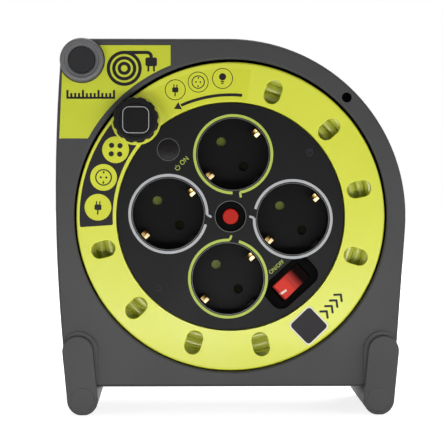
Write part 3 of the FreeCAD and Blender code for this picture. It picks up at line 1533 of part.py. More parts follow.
def make_switch():
    """Switch body behind the dish and its red rocker, which lies tipped at rest."""
    x, z = polar(D.switch_circle, D.switch_angle)
    pivot = DISH_FLOOR + D.rocker_pivot
    back = PANEL_BACK + D.switch_deep
    body = slab("switch_body", PANEL_BACK, back, rounded_box(
        0.0, 0.0, switch_long(), switch_wide(), 0.8))
    cut_prism(body, PANEL_BACK, back - D.switch_wall * 2, rounded_box(
        0.0, 0.0, switch_long() - D.switch_wall * 2, switch_wide() - D.switch_wall * 2, 0.6))
    cut_across(body, switch_wide(), Circle(0.0, pivot, D.trunnion + D.shaft_gap))
    place_on_drum(body, x, z, switch_turn())
    finish(body)
    rocker = start_body("rocker")
    half = D.rocker_long / 2
    low = D.rocker_low
    peak = -(D.rocker_pivot + D.rocker_rise)
    waist = peak + half * (sine(D.rocker_tilt) / cosine(D.rocker_tilt))
    profile = [
        (-half, peak), (0.0, waist), (half, peak), (half + 0.3, 0.0),
        (half * 0.6, low), (-half * 0.6, low), (-half - 0.3, 0.0),
    ]
    tipped = [moved([as_size(value) for value in corner], as_size(0.0), pivot, D.rocker_tilt)
              for corner in profile]
    add_across(rocker, D.rocker_wide / 2, Outline(list(reversed(tipped))))
    round_edges(rocker, D.rocker_round, lambda edge: long_rocker_edge(edge, pivot))
    add_across(rocker, switch_wide() / 2 - D.fit_gap, Circle(0.0, pivot, D.trunnion))
    place_on_drum(rocker, x, z, switch_turn())
    finish(rocker)


def long_rocker_edge(edge, pivot):
    """True for the edges along the rocker's two top faces and its ends."""
    middle = edge.BoundBox.Center
    return middle.y < pivot.number - D.rocker_rise.number * 0.6


def make_back_cover():
    """Insulating cover behind the contacts, with the hole for the cable's inner end."""
    body = slab(
        "back_cover", COVER_FRONT, COVER_BACK,
        Circle(0.0, 0.0, D.hub_radius - D.hub_wall - D.fit_gap),
        Circle(-D.tail_circle, 0.0, D.cable_radius + D.fit_gap),
    )
    place_on_drum(body)
    return finish(body)


def make_knob():
    """Winding knob that turns on its riveted pin, and the cap in its front."""
    x, z = polar(D.knob_circle, D.knob_angle)
    bore = D.knob_pin + D.shaft_gap
    neck_back = RING_FRONT - D.knob_seat_high - D.run_gap
    radius = D.knob_radius
    edge = 1.6
    cap = D.knob_cap_radius + D.fit_gap
    cap_back = KNOB_FRONT + D.knob_cap_thick
    head = D.knob_pin + 1.8
    shoulder = cap_back + 2.0
    knob = turned("winding_knob", [
        (bore, neck_back), (bore, shoulder), (head + D.run_gap, shoulder),
        (head + D.run_gap, cap_back), (cap, cap_back), (cap, KNOB_FRONT),
        (radius - edge, KNOB_FRONT, edge), (radius, KNOB_FRONT + edge),
        (radius, KNOB_BACK - 0.8), (radius - 0.8, KNOB_BACK), (D.knob_neck, KNOB_BACK),
        (D.knob_neck, neck_back),
    ])
    for number in range(int(D.knob_flutes.number)):
        flute = polar(radius + D.flute_radius - D.flute_sink, number * 360.0 / D.knob_flutes)
        cut_prism(knob, KNOB_FRONT, KNOB_BACK, Circle(flute[0], flute[1], D.flute_radius))
    place_on_drum(knob, x, z)
    finish(knob)
    disc = turned("knob_cap", [
        (0.0, KNOB_FRONT), (D.knob_cap_radius - 0.3, KNOB_FRONT),
        (D.knob_cap_radius, KNOB_FRONT + 0.3), (D.knob_cap_radius, cap_back), (0.0, cap_back),
    ])
    place_on_drum(disc, x, z)
    finish(disc)
    head_back = shoulder - D.run_gap
    pin_body = turned("knob_pin", [
        (0.0, head_back - 1.2), (head, head_back - 1.2), (head, head_back),
        (D.knob_pin, head_back), (D.knob_pin, RING_BACK), (head, RING_BACK),
        (head, RING_BACK + 1.2), (0.0, RING_BACK + 1.2),
    ])
    place_on_drum(pin_body, x, z)
    finish(pin_body)


CORE_RADIUS = OUTER_LAYER - D.cable_radius - D.run_gap - 0.15


def layer_ends(face, inward):
    """The inner layers' end turns as arcs, from the hub outwards: (radius, depth, arc).

    Every second layer lies in the hollows of the one below, half a step further in.
    """
    corners = []
    near = D.hub_radius + D.run_gap
    for number in range(1, int(D.cable_layers.number)):
        middle = INNER_LAYER + LAYER_STEP * (number - 1.0)
        nested = (int(D.cable_layers.number) - number) % 2
        depth = face + (D.cable_radius + D.cable_pitch / 2 * nested) * inward
        last = number == int(D.cable_layers.number) - 1
        far = CORE_RADIUS if last else middle + LAYER_STEP / 2
        if number > 1:
            near = middle - LAYER_STEP / 2
        for radius in (near, far):
            aside = radius - middle
            rise = root(D.cable_radius * D.cable_radius - aside * aside + 0.0001)
            corners.append((radius, depth - rise * inward))
    return corners


def make_cable_core():
    """Inner layers of the wound cable as one ring, with the two stubs of the outer layer."""
    front = layer_ends(CABLE_FRONT, 1.0)
    back = list(reversed(layer_ends(CABLE_BACK, -1.0)))
    corners = []
    for side in (front, back):
        for number, corner in enumerate(side):
            corners.append(corner + (D.cable_radius + 0.01,) if number % 2 == 0 else corner)
    body = turned("cable_core", corners)
    half = D.cable_radius
    for depth, side in ((CABLE_FRONT + half, 1.0), (CABLE_BACK - half, -1.0)):
        near = -(half * 2) * side
        far = -(half * 2 + D.stub_long) * side
        add_prism(body, depth - half, depth + half, Outline([
            (near, CORE_RADIUS - 3.0), (far, CORE_RADIUS - 3.0),
            (far, OUTER_LAYER + half - 0.6), (near, OUTER_LAYER + half),
        ]))
    place_on_drum(body)
    return finish(body)


def biarc(start, start_way, end, end_way):
    """Two arcs that leave start and reach end in the given directions."""
    gone = end - start
    both = start_way + end_way
    a = 2.0 * (start_way.dot(end_way) - 1.0)
    b = -2.0 * gone.dot(both)
    c = gone.dot(gone)
    reach = (-b - math.sqrt(b * b - 4.0 * a * c)) / (2.0 * a)
    first = start + start_way * reach
    second = end - end_way * reach
    joint = (first + second) * 0.5
    return [arc_by_apex(start, first, joint), arc_by_apex(joint, second, end)]


def arc_by_apex(start, apex, end):
    """The arc from start to end whose tangents meet at the apex."""
    chord_middle = (start + end) * 0.5
    away = apex - chord_middle
    half = (end - start).Length / 2
    lean = math.atan2(away.Length, half)
    rise = half * math.tan(lean / 2)
    top = chord_middle + away.normalize() * rise
    return Part.Arc(start, top, end).toShape()


def make_cable_winding():
    """Outer layer of the wound cable: one unbroken tube in even turns."""
    radius = OUTER_LAYER.number
    pitch = D.cable_pitch.number
    turns = D.cable_turns.number
    thick = D.cable_radius.number
    start_depth = (CABLE_FRONT + D.cable_radius).number
    steps = int(round(turns * 4))
    rise = pitch / (2.0 * math.pi)

    def point(angle):
        depth = start_depth + rise * angle
        return Vector(radius * math.sin(angle), depth, radius * math.cos(angle))

    def way(angle):
        return Vector(radius * math.cos(angle), rise, -radius * math.sin(angle)).normalize()

    last = steps * math.pi / 2
    flat_start = Vector(1, 0, 0)
    begin = point(0.0) - flat_start * (2 * thick)
    finish_point = point(last) + flat_start * (2 * thick)
    edges = [Part.LineSegment(begin, point(0.0)).toShape()]
    for number in range(steps):
        first = number * math.pi / 2
        second = first + math.pi / 2
        first_way = flat_start if number == 0 else way(first)
        second_way = flat_start if number == steps - 1 else way(second)
        edges.extend(biarc(point(first), first_way, point(second), second_way))
    edges.append(Part.LineSegment(point(last), finish_point).toShape())
    path = Part.Wire(edges)
    section = Part.Wire(Part.Circle(begin, flat_start, thick).toShape())
    tube = path.makePipeShell([section], True, False)
    print_least_gap(edges, thick)
    print("cable winding volume / section x length: %.4f" % (
        tube.Volume / (math.pi * thick * thick * path.Length)))
    winding = doc.addObject("Part::Feature", "cable_winding")
    winding.Label = "cable_winding"
    winding.Shape = tube
    place_on_drum(winding)
    return finish(winding)


def print_least_gap(edges, thick):
    """Measures on points along the tube how near its turns come to each other."""
    points = []
    for edge in edges:
        points.extend(edge.discretize(9)[:-1])
    least = min(
        (one - other).Length
        for number, one in enumerate(points)
        for other in points[number + 24:]
        if abs(one.x - other.x) < thick * 3 and abs(one.z - other.z) < thick * 3
    )
    print("least gap between turns: %.2f mm" % (least - 2 * thick))


def bent_path(points, bend):
    """Straight runs through the points, joined by tangent arcs of one radius."""
    edges = []
    start = points[0]
    for number in range(1, len(points) - 1):
        before = (points[number] - points[number - 1]).normalize()
        after = (points[number + 1] - points[number]).normalize()
        turn = before.getAngle(after)
        cut = bend * math.tan(turn / 2)
        arc_start = points[number] - before * cut
        arc_end = points[number] + after * cut
        edges.append(Part.LineSegment(start, arc_start).toShape())
        edges.append(arc_by_apex(arc_start, points[number], arc_end))
        start = arc_end
    edges.append(Part.LineSegment(start, points[-1]).toShape())
    return Part.Wire(edges)


def tube_along(label, points, radius, bend):
    path = bent_path(points, bend)
    way = (points[1] - points[0]).normalize()
    section = Part.Wire(Part.Circle(points[0], way, radius).toShape())
    tube = doc.addObject("Part::Feature", label)
    tube.Label = label
    tube.Shape = path.makePipeShell([section], True, False)
    return tube


def spot(x, depth, z):
    return Vector(as_size(x).number, as_size(depth).number, as_size(z).number)


def make_cable_tail():
    """Cable's inner end: from the lowest layer through the hub's wall to the back cover."""
    tail = tube_along("cable_tail", [
        spot(-D.hub_radius - D.run_gap, TAIL_DEPTH, 0.0),
        spot(-D.tail_circle, TAIL_DEPTH, 0.0),
        spot(-D.tail_circle, COVER_FRONT, 0.0),
    ], D.cable_radius.number, D.tail_bend.number)
    place_on_drum(tail)
    return finish(tail)


def make_inner_leads():
    """Insulated leads from the cable to the cut-out, the switch and the bars."""
    run = BAR_B_BACK + D.lead_radius + 0.4
    in_x = D.tail_circle
    earth_x, earth_z = polar(D.socket_circle, 170.5)
    live_x, live_z = polar(D.socket_circle, -20.0)
    pole_x, pole_z = polar(D.pin_spacing / 2, PIN_ANGLES[0])
    cutout_back = PANEL_BACK + D.cutout_long
    switch_back = PANEL_BACK + D.switch_deep
    switch_x, switch_z = polar(D.switch_circle, D.switch_angle)
    side_x, side_z = polar(4.0, D.switch_angle + 90.0)
    routes = [
        [spot(0.4 - in_x, COVER_FRONT, -1.9), spot(0.4 - in_x, BAR_B_BACK, -1.9)],
        [spot(1.5 - in_x, COVER_FRONT, 1.2), spot(1.5 - in_x, run, 1.2),
         spot(-4.0, run, 1.2), spot(-4.0, cutout_back, 1.2)],
        [spot(-1.9 - in_x, COVER_FRONT, 0.8), spot(-1.9 - in_x, run, 0.8),
         spot(earth_x, run, earth_z), spot(earth_x, STRAP_BACK + D.bar_thick, earth_z)],
        [spot(4.0, cutout_back, -3.0), spot(4.0, run, -3.0),
         spot(switch_x - side_x, run, switch_z - side_z),
         spot(switch_x - side_x, switch_back, switch_z - side_z)],
        [spot(switch_x + side_x, switch_back, switch_z + side_z),
         spot(switch_x + side_x, run, switch_z + side_z),
         spot(live_x + pole_x, run, live_z + pole_z),
         spot(live_x + pole_x, BAR_A_BACK, live_z + pole_z)],
    ]
    leads = []
    for number, route in enumerate(routes):
        label = "inner_lead_%d" % (number + 1)
        lead = tube_along(label, route, D.lead_radius.number, D.lead_radius.number * 1.7)
        place_on_drum(lead)
        leads.append(lead)
    finish(group("inner_leads", leads))


def check_document():
    """Stops where any object failed, any piece is not valid or any cut missed."""
    doc.recompute()
    for thing in doc.Objects:
        if "Invalid" in thing.State or "Error" in thing.State:
            raise RuntimeError("failed: " + thing.Label)
        if thing.isDerivedFrom("PartDesign::Pocket"):
            gone = thing.BaseFeature.Shape.Volume - thing.Shape.Volume
            if gone < 1e-3:
                raise RuntimeError("cuts nothing: " + thing.Label)
    for thing in NODES:
        if thing.Shape.isNull() or not thing.Shape.isValid():
            raise RuntimeError("not a valid shape: " + thing.Label)


def main():
    make_front_shell()
    make_rear_shell()
    make_case_screw()
    make_cable_guide()
    make_grip()
    make_feet()
    make_axle()
    make_case_label()
    make_front_ring()
    make_hub()
    make_rear_cheek()
    make_bush()
    make_panel()
    make_socket_cups()
    make_shutters()
    make_earth_clips()
    make_contacts()
    make_reset()
    make_lamp()
    make_switch()
    make_back_cover()
    make_knob()
    make_cable_core()
    make_cable_winding()
    make_cable_tail()
    make_inner_leads()
    check_document()
    os.makedirs("parts", exist_ok=True)
    for thing in NODES:
        thing.Shape.exportStep(os.path.join("parts", thing.Label + ".step"))
    print("%d nodes written" % len(NODES))


main()
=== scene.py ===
"""Looks of the extension cord reel: finishes, wound cable, prints and the studio."""

import json
import math

import bpy
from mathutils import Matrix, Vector


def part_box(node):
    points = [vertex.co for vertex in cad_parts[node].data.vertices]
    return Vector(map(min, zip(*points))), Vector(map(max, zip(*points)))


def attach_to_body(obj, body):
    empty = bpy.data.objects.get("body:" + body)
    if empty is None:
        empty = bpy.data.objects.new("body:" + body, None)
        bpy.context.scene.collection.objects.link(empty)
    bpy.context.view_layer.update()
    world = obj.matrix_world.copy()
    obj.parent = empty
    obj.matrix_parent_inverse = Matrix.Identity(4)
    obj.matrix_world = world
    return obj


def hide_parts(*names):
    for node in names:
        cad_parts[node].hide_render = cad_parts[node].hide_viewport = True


bl_info = {
    "name": "Cord reel finishes",
    "version": (1, 0, 0),
    "blender": (4, 5, 0),
    "location": "View3D > Sidebar > Cord Reel",
    "description": "Dresses the packed extension cord reel: plastics, cable, labels and prints",
    "category": "Object",
}

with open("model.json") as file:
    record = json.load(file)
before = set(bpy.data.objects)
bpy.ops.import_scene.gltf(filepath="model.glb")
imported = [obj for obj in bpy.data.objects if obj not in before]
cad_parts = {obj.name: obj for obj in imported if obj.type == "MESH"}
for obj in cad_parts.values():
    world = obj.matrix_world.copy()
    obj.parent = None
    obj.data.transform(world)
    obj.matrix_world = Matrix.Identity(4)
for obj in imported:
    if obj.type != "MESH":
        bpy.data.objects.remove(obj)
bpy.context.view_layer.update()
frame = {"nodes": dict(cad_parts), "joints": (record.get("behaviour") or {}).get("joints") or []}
JOINTS = {joint["name"]: joint for joint in frame["joints"]}

# Sizes and places are those of the part's source, from the axle's middle.
# A direction is in degrees, counter-clockwise from the right as the front is seen.
MM = 0.001
AXLE = Vector(JOINTS["drum_spin"]["pos_m"])
DRUM_TURN = 2.4

# Depths behind (+) or in front (-) of the case's middle
CASE_FACE = -42.0 * MM
RING_RECESS = 1.5 * MM
PANEL_RECESS = 2.5 * MM
LABEL_THICK = 0.25 * MM
RING_FACE = CASE_FACE + RING_RECESS
PANEL_FACE = RING_FACE + PANEL_RECESS
CORE_FRONT = -32.1 * MM
TAIL_DEPTH = 21.0 * MM
COVER_FRONT = 0.9 * MM

# Radii and directions on the drum
SOCKET_CIRCLE = 35.6 * MM
SOCKETS = (("top", 90.0), ("right", 0.0), ("bottom", -90.0), ("left", 180.0))
PIN_LINE = -45.0
KNOB_AT = (76.9 * MM, 136.8)
SWITCH_AT = (51.2 * MM, -45.2)
LAMP_AT = (52.2 * MM, 135.4)
HUB_RADIUS = 61.0 * MM
TAIL_CIRCLE = 30.0 * MM

# The wound cable: each layer lies in the grooves of the one below
CABLE_RADIUS = 3.5 * MM
CABLE_PITCH = 7.5 * MM
CABLE_TURNS = 8
LAYER_RADII = [radius * MM for radius in (64.8, 70.9, 76.9, 82.987)]
RUN_GAP = 0.3 * MM


# Settings that a user would change

def colour_setting(name, description, red, green, blue):
    """A colour as it looks on screen, from 0 to 255."""
    return bpy.props.FloatVectorProperty(
        name=name, description=description, subtype="COLOR_GAMMA", size=3, min=0.0, max=1.0,
        default=(red / 255, green / 255, blue / 255),
    )


def length_setting(name, description, millimetres):
    """A length that is given in millimetres."""
    return bpy.props.FloatProperty(
        name=name, description=description, default=millimetres * MM, min=0.0,
        subtype="DISTANCE", unit="LENGTH", precision=5,
    )


def lamp_setting(name, description, watts):
    """The power of a lamp."""
    return bpy.props.FloatProperty(
        name=name, description=description, default=watts, unit="POWER")


class ReelColours(bpy.types.PropertyGroup):
    """Colours of the reel's plastics, cable and prints."""

    case: colour_setting("Case", "Dark grey case shells and feet", 57, 57, 58)
    grip: colour_setting("Grip", "Soft sleeve of the carry grip", 38, 38, 40)
    plug: colour_setting("Plugs", "Plugs over the screws of the feet", 63, 63, 64)
    black: colour_setting("Black", "Socket panel, cups and knob", 21, 21, 22)
    drum: colour_setting("Drum", "Yellow-green front ring, hub and cheek", 212, 217, 58)
    cable: colour_setting("Cable", "Yellow-green sheath of the wound cable", 236, 242, 100)
    shutter: colour_setting("Shutters", "Olive shutters behind the pin holes", 108, 120, 46)
    label: colour_setting("Label", "Yellow-green label film", 197, 205, 54)
    lime: colour_setting("Lime print", "Yellow-green print on the black panel", 176, 194, 84)
    silver: colour_setting("Silver print", "Grey print on the black panel", 178, 179, 182)
    ink: colour_setting("Ink", "Dark print and dark films", 30, 27, 30)
    red: colour_setting("Red", "Rocker of the switch", 220, 66, 56)
    reset: colour_setting("Reset", "Reset button", 180, 30, 14)


class ReelPrints(bpy.types.PropertyGroup):
    """Sizes of the prints and films."""

    ink: length_setting("Ink", "Thickness of a printed mark", 0.04)
    film: length_setting("Film", "Thickness of a stuck film", 0.12)
    socket_ring: length_setting("Socket ring", "Radius of the printed ring's line", 22.1)
    socket_line: length_setting("Socket line", "Width of the printed ring's line", 1.55)
    hook: length_setting("Hook", "Short turned end of a printed ring", 2.9)
    disc: length_setting("Disc", "Radius of the discs on the dark film", 7.6)
    emblem: length_setting("Emblem", "Side of the bare square plate", 17.0)


class ReelStudio(bpy.types.PropertyGroup):
    """Camera, lamps and floor."""

    lens: bpy.props.FloatProperty(
        name="Lens", description="Focal length on a 36 mm sensor", default=158.1, unit="CAMERA")
    distance: bpy.props.FloatProperty(
        name="Distance", description="From the camera to the reel's face", default=1.11,
        unit="LENGTH")
    key: lamp_setting("Key lamp", "Power of the large lamp at the left", 2.0)
    fill: lamp_setting("Fill lamp", "Power of the soft lamp at the right", 4.4)
    low: lamp_setting("Low lamp", "Power of the low wide lamp in front", 1.05)
    rear: lamp_setting("Rear lamp", "Power of the lamp behind the reel", 11.0)
    top: lamp_setting("Top lamp", "Power of the lamp above the reel", 8.0)
    around: bpy.props.FloatProperty(
        name="Room light", description="Strength of the even light from all sides", default=0.16)


def linear(colour):
    """A colour setting as the shader's own values."""
    return tuple(
        value / 12.92 if value <= 0.04045 else ((value + 0.055) / 1.055) ** 2.4
        for value in colour
    ) + (1.0,)


def colours():
    """The scene's colour settings."""
    return bpy.context.scene.reel_colours


def prints():
    """The scene's settings of films and prints."""
    return bpy.context.scene.reel_prints


# Shared shader effects

def new_group(name, inputs, outputs):
    """An empty shader group with named sockets: inputs are (name, kind, default)."""
    group = bpy.data.node_groups.new(name, "ShaderNodeTree")
    for label, kind, default in inputs:
        socket = group.interface.new_socket(label, in_out="INPUT", socket_type=kind)
        socket.default_value = default
    for label, kind in outputs:
        group.interface.new_socket(label, in_out="OUTPUT", socket_type=kind)
    return group, group.nodes.new("NodeGroupInput"), group.nodes.new("NodeGroupOutput")


FLOAT = "NodeSocketFloat"


def add_node(tree, kind, values=(), **settings):
    """A node with its settings, and its input sockets filled or linked by name."""
    node = tree.nodes.new(kind)
    for name, value in settings.items():
        setattr(node, name, value)
    for name, value in dict(values).items():
        if isinstance(value, bpy.types.NodeSocket):
            tree.links.new(value, node.inputs[name])
        else:
            node.inputs[name].default_value = value
    return node


def maths(tree, operation, first, second=0.0, third=0.0):
    """Result of one sum on values or sockets."""
    return add_node(
        tree, "ShaderNodeMath", {0: first, 1: second, 2: third}, operation=operation
    ).outputs[0]


def rescale(tree, value, from_min, from_max, to_min=0.0, to_max=1.0):
    """A value carried from one span to another and kept within it."""
    node = add_node(tree, "ShaderNodeMapRange", {
        "Value": value, "From Min": from_min, "From Max": from_max,
        "To Min": to_min, "To Max": to_max})
    return node.outputs["Result"]


def cloudy(tree, value, low=0.0, high=1.0):
    """Noise, most of which lies from 0.3 to 0.7, spread from low to high."""
    return rescale(tree, value, 0.3, 0.7, low, high)


def own_place(tree):
    """Where a point lies on its piece."""
    return tree.nodes.new("ShaderNodeTexCoord").outputs["Object"]


def stretched(tree, place, turn, scale):
    """A place turned about the front's axis and stretched."""
    return add_node(tree, "ShaderNodeMapping", {
        "Vector": place, "Rotation": (0.0, turn, 0.0), "Scale": scale}).outputs["Vector"]


def noise(tree, place, scale, detail, roughness=0.5):
    """Cloudy noise over a place."""
    return add_node(tree, "ShaderNodeTexNoise", {
        "Vector": place, "Scale": scale, "Detail": detail, "Roughness": roughness}).outputs["Fac"]


def send(tree, results, output):
    """Feeds a group's results to its output."""
    for name, socket in results.items():
        tree.links.new(socket, output.inputs[name])


def moulded_grain():
    """Fine eroded texture of a mould, with slow changes of gloss over the surface."""
    group, inside, out = new_group(
        "Moulded grain",
        (("Grain", FLOAT, 1500.0), ("Patches", FLOAT, 18.0)),
        (("Height", FLOAT), ("Patchiness", FLOAT), ("Speckle", FLOAT)),
    )
    place = own_place(group)
    grain = inside.outputs["Grain"]
    fine = noise(group, place, grain, 2.0, 0.6)
    pits = add_node(group, "ShaderNodeTexVoronoi", {
        "Vector": place, "Scale": maths(group, "MULTIPLY", grain, 0.7)},
        feature="SMOOTH_F1").outputs["Distance"]
    height = maths(group, "ADD", fine, maths(group, "MULTIPLY", pits, 0.8))
    slow = noise(group, place, inside.outputs["Patches"], 4.0, 0.55)
    send(group, {"Height": height, "Patchiness": slow, "Speckle": fine}, out)
    return group


def rubbed_and_highlit_edges():
    """Outer edges, 1 on the edge and broken up by noise: used for rubbed wear and for painted edge
    highlights.
    """
    group, inside, out = new_group(
        "Worn edges",
        (("Width", FLOAT, 0.0006), ("Breakup", FLOAT, 90.0)),
        (("Mask", FLOAT),),
    )
    rounded = add_node(group, "ShaderNodeBevel", {"Radius": inside.outputs["Width"]}, samples=4)
    true = group.nodes.new("ShaderNodeNewGeometry").outputs["Normal"]
    along = add_node(group, "ShaderNodeVectorMath", {
        0: rounded.outputs["Normal"], 1: true}, operation="DOT_PRODUCT").outputs["Value"]
    edge = rescale(group, along, 0.99, 0.82)
    patches = noise(group, own_place(group), inside.outputs["Breakup"], 3.0)
    broken = rescale(group, patches, 0.35, 0.65, 0.35)
    send(group, {"Mask": maths(group, "MULTIPLY", edge, broken)}, out)
    return group


def fine_scratches():
    """Hair-fine rubbed lines in two directions."""
    group, inside, out = new_group(
        "Fine scratches", (("Density", FLOAT, 60.0),), (("Mask", FLOAT),))
    place = own_place(group)
    lines = []
    for turn, stretch in ((0.5, 14.0), (-0.9, 11.0)):
        streaks = noise(group, stretched(group, place, turn, (1.0, 1.0, stretch)),
                        inside.outputs["Density"], 5.0)
        lines.append(rescale(group, streaks, 0.66, 0.72))
    send(group, {"Mask": maths(group, "MAXIMUM", *lines)}, out)
    return group


def along_the_metal():
    """Drawn lines of sheet metal and turned steel."""
    group, inside, out = new_group(
        "Drawn metal", (("Lines", FLOAT, 900.0),), (("Height", FLOAT), ("Stain", FLOAT)))
    place = own_place(group)
    lines = noise(group, stretched(group, place, 0.0, (1.0, 0.06, 1.0)),
                  inside.outputs["Lines"], 2.0)
    stain = noise(group, place, 140.0, 4.0)
    send(group, {"Height": lines, "Stain": stain}, out)
    return group


GROUPS = {}


def shared(maker):
    """The shader group that maker builds, built once."""
    if maker not in GROUPS:
        GROUPS[maker] = maker()
    return GROUPS[maker]


def use_group(tree, maker, **values):
    """Places a shared group in a material and returns its outputs."""
    node = tree.nodes.new("ShaderNodeGroup")
    node.node_tree = shared(maker)
    for name, value in values.items():
        node.inputs[name].default_value = value
    return node.outputs


# Materials

def new_material(name):
    """A material with its shader, ready to be wired."""
    material = bpy.data.materials.new(name)
    material.use_nodes = True
    return material, material.node_tree, material.node_tree.nodes["Principled BSDF"]


def mixed(tree, first, second, factor):
    """Two colours mixed by a mask."""
    share, one_colour, other_colour, result = 0, 6, 7, 2
    return add_node(tree, "ShaderNodeMix", {
        one_colour: first, other_colour: second, share: factor}, data_type="RGBA").outputs[result]


def shaded(colour, factor):
    """The colour lighter (above 1) or darker (below 1)."""
    return tuple(min(1.0, value * factor) for value in colour[:3]) + (1.0,)


def wire(tree, shader, colour, roughness):
    """Feeds a colour and a roughness to the shader."""
    tree.links.new(colour, shader.inputs["Base Color"])
    tree.links.new(roughness, shader.inputs["Roughness"])


def bumped(tree, shader, height, depth):
    """Feeds a height in metres of depth to the shader's normal."""
    bump = add_node(tree, "ShaderNodeBump", {
        "Height": height, "Distance": depth, "Strength": 1.0})
    tree.links.new(bump.outputs["Normal"], shader.inputs["Normal"])


def plastic(name, colour, roughness, grain=1500.0, depth=0.00002, patch=0.05, edge=1.5,
            edge_width=0.0005, gloss_change=0.08, coat=0.0, scratches=0.0, shine=0.5,
            painted_shade_from=None):
    """Moulded plastic: grain, slow changes of tone and gloss, paler edges (partly rubbed wear,
    partly painted highlight) and painted shade in recesses.
    """
    material, tree, shader = new_material(name)
    texture = use_group(tree, moulded_grain, Grain=grain)
    edge_mask = use_group(tree, rubbed_and_highlit_edges, Width=edge_width)["Mask"]
    pitted, rubbed, polished, recess_shade = 0.35, 0.7, 0.12, 0.25
    tone = cloudy(tree, texture["Patchiness"])
    base = mixed(tree, shaded(colour, 1.0 - patch), shaded(colour, 1.0 + patch), tone)
    pits = rescale(tree, texture["Speckle"], 0.3, 0.75)
    base = mixed(tree, base, shaded(colour, 1.0 - patch * 1.6),
                 maths(tree, "MULTIPLY", pits, pitted))
    # Painted highlight and wear: the edge factor lightens edges. Small factors are rubbed wear,
    # and large ones paint the light that catches an edge.
    base = mixed(tree, base, shaded(colour, edge), maths(tree, "MULTIPLY", edge_mask, rubbed))
    gloss = cloudy(tree, texture["Patchiness"],
                   roughness - gloss_change, roughness + gloss_change)
    gloss = maths(tree, "SUBTRACT", gloss, maths(tree, "MULTIPLY", edge_mask, polished))
    if scratches:
        lines = use_group(tree, fine_scratches)["Mask"]
        gloss = maths(tree, "ADD", gloss, maths(tree, "MULTIPLY", lines, scratches))
    # Painted shade: behind the given depth the colour darkens, standing in for the shade inside
    # the panel's recesses.
    if painted_shade_from is not None:
        painted_shade_to = painted_shade_from + 2.0 * MM
        behind = add_node(tree, "ShaderNodeSeparateXYZ", {"Vector": own_place(tree)}).outputs["Y"]
        inside = rescale(tree, behind, painted_shade_from, painted_shade_to)
        base = mixed(tree, base, shaded(colour, recess_shade), inside)
        gloss = maths(tree, "MAXIMUM", gloss, inside)
    wire(tree, shader, base, gloss)
    shader.inputs["Specular IOR Level"].default_value = shine
    shader.inputs["Coat Weight"].default_value = coat
    shader.inputs["Coat Roughness"].default_value = 0.12
    bumped(tree, shader, texture["Height"], depth)
    return material


def rubber_grip(name, colour):
    """Soft sleeve with fine rings moulded round it."""
    material, tree, shader = new_material(name)
    texture = use_group(tree, moulded_grain, Grain=2200.0)
    rings = add_node(tree, "ShaderNodeTexWave", {
        "Vector": own_place(tree), "Scale": 90.0, "Distortion": 0.0},
        wave_type="BANDS", bands_direction="Y", wave_profile="SIN").outputs["Fac"]
    base = mixed(tree, shaded(colour, 0.8), shaded(colour, 1.25), texture["Patchiness"])
    base = mixed(tree, shaded(colour, 0.7), base, rescale(tree, rings, 0.0, 0.4, 0.3))
    wire(tree, shader, base, cloudy(tree, texture["Patchiness"], 0.68, 0.82))
    height = maths(tree, "ADD", maths(tree, "MULTIPLY", rings, 6.0), texture["Height"])
    bumped(tree, shader, height, 0.00006)
    return material


def painted_shade_along(material, middle, way, start, stop, deep, shine):
    """Paints shade on a plastic: it darkens from one point to another along a direction from its
    middle.
    """
    tree = material.node_tree
    shader = tree.nodes["Principled BSDF"]
    base = shader.inputs["Base Color"].links[0].from_socket
    gloss = shader.inputs["Roughness"].links[0].from_socket
    gone = add_node(tree, "ShaderNodeVectorMath", {
        0: own_place(tree), 1: middle}, operation="SUBTRACT")
    along = add_node(tree, "ShaderNodeVectorMath", {
        0: gone.outputs["Vector"], 1: way}, operation="DOT_PRODUCT").outputs["Value"]
    dip = rescale(tree, along, start, stop)
    wire(tree, shader, mixed(tree, base, deep, dip), maths(tree, "MAXIMUM", gloss, dip))
    shader.inputs["Specular IOR Level"].default_value = shine
    return material


def cable_sheath(name, colour):
    """Glossy soft sheath: slight waves of the wires inside, and fine darker rubbed lines."""
    material, tree, shader = new_material(name)
    texture = use_group(tree, moulded_grain, Grain=2600.0, Patches=60.0)
    lines = use_group(tree, fine_scratches, Density=110.0)["Mask"]
    base = mixed(tree, shaded(colour, 0.86), shaded(colour, 1.1), texture["Patchiness"])
    base = mixed(tree, base, shaded(colour, 0.7), maths(tree, "MULTIPLY", lines, 0.25))
    wire(tree, shader, base, cloudy(tree, texture["Patchiness"], 0.22, 0.34))
    wires = noise(tree, own_place(tree), 130.0, 1.0)
    height = maths(tree, "ADD", maths(tree, "MULTIPLY", wires, 8.0), texture["Height"])
    bumped(tree, shader, height, 0.00002)
    shader.inputs["Coat Weight"].default_value = 0.6
    shader.inputs["Coat Roughness"].default_value = 0.15
    shader.inputs["Subsurface Weight"].default_value = 0.04
    shader.inputs["Subsurface Radius"].default_value = (0.002, 0.002, 0.0006)
    return material


def metal(name, colour, roughness):
    """Sheet or turned metal: drawn lines, light stains and bright edges."""
    material, tree, shader = new_material(name)
    drawn = use_group(tree, along_the_metal)
    edge_mask = use_group(tree, rubbed_and_highlit_edges, Width=0.0003)["Mask"]
    base = mixed(tree, shaded(colour, 0.72), shaded(colour, 1.05),
                 rescale(tree, drawn["Stain"], 0.3, 0.6))
    base = mixed(tree, base, shaded(colour, 1.35), edge_mask)
    stained, clean = roughness + 0.1, roughness - 0.06
    wire(tree, shader, base, cloudy(tree, drawn["Stain"], stained, clean))
    shader.inputs["Metallic"].default_value = 1.0
    bumped(tree, shader, drawn["Height"], 0.000012)
    return material


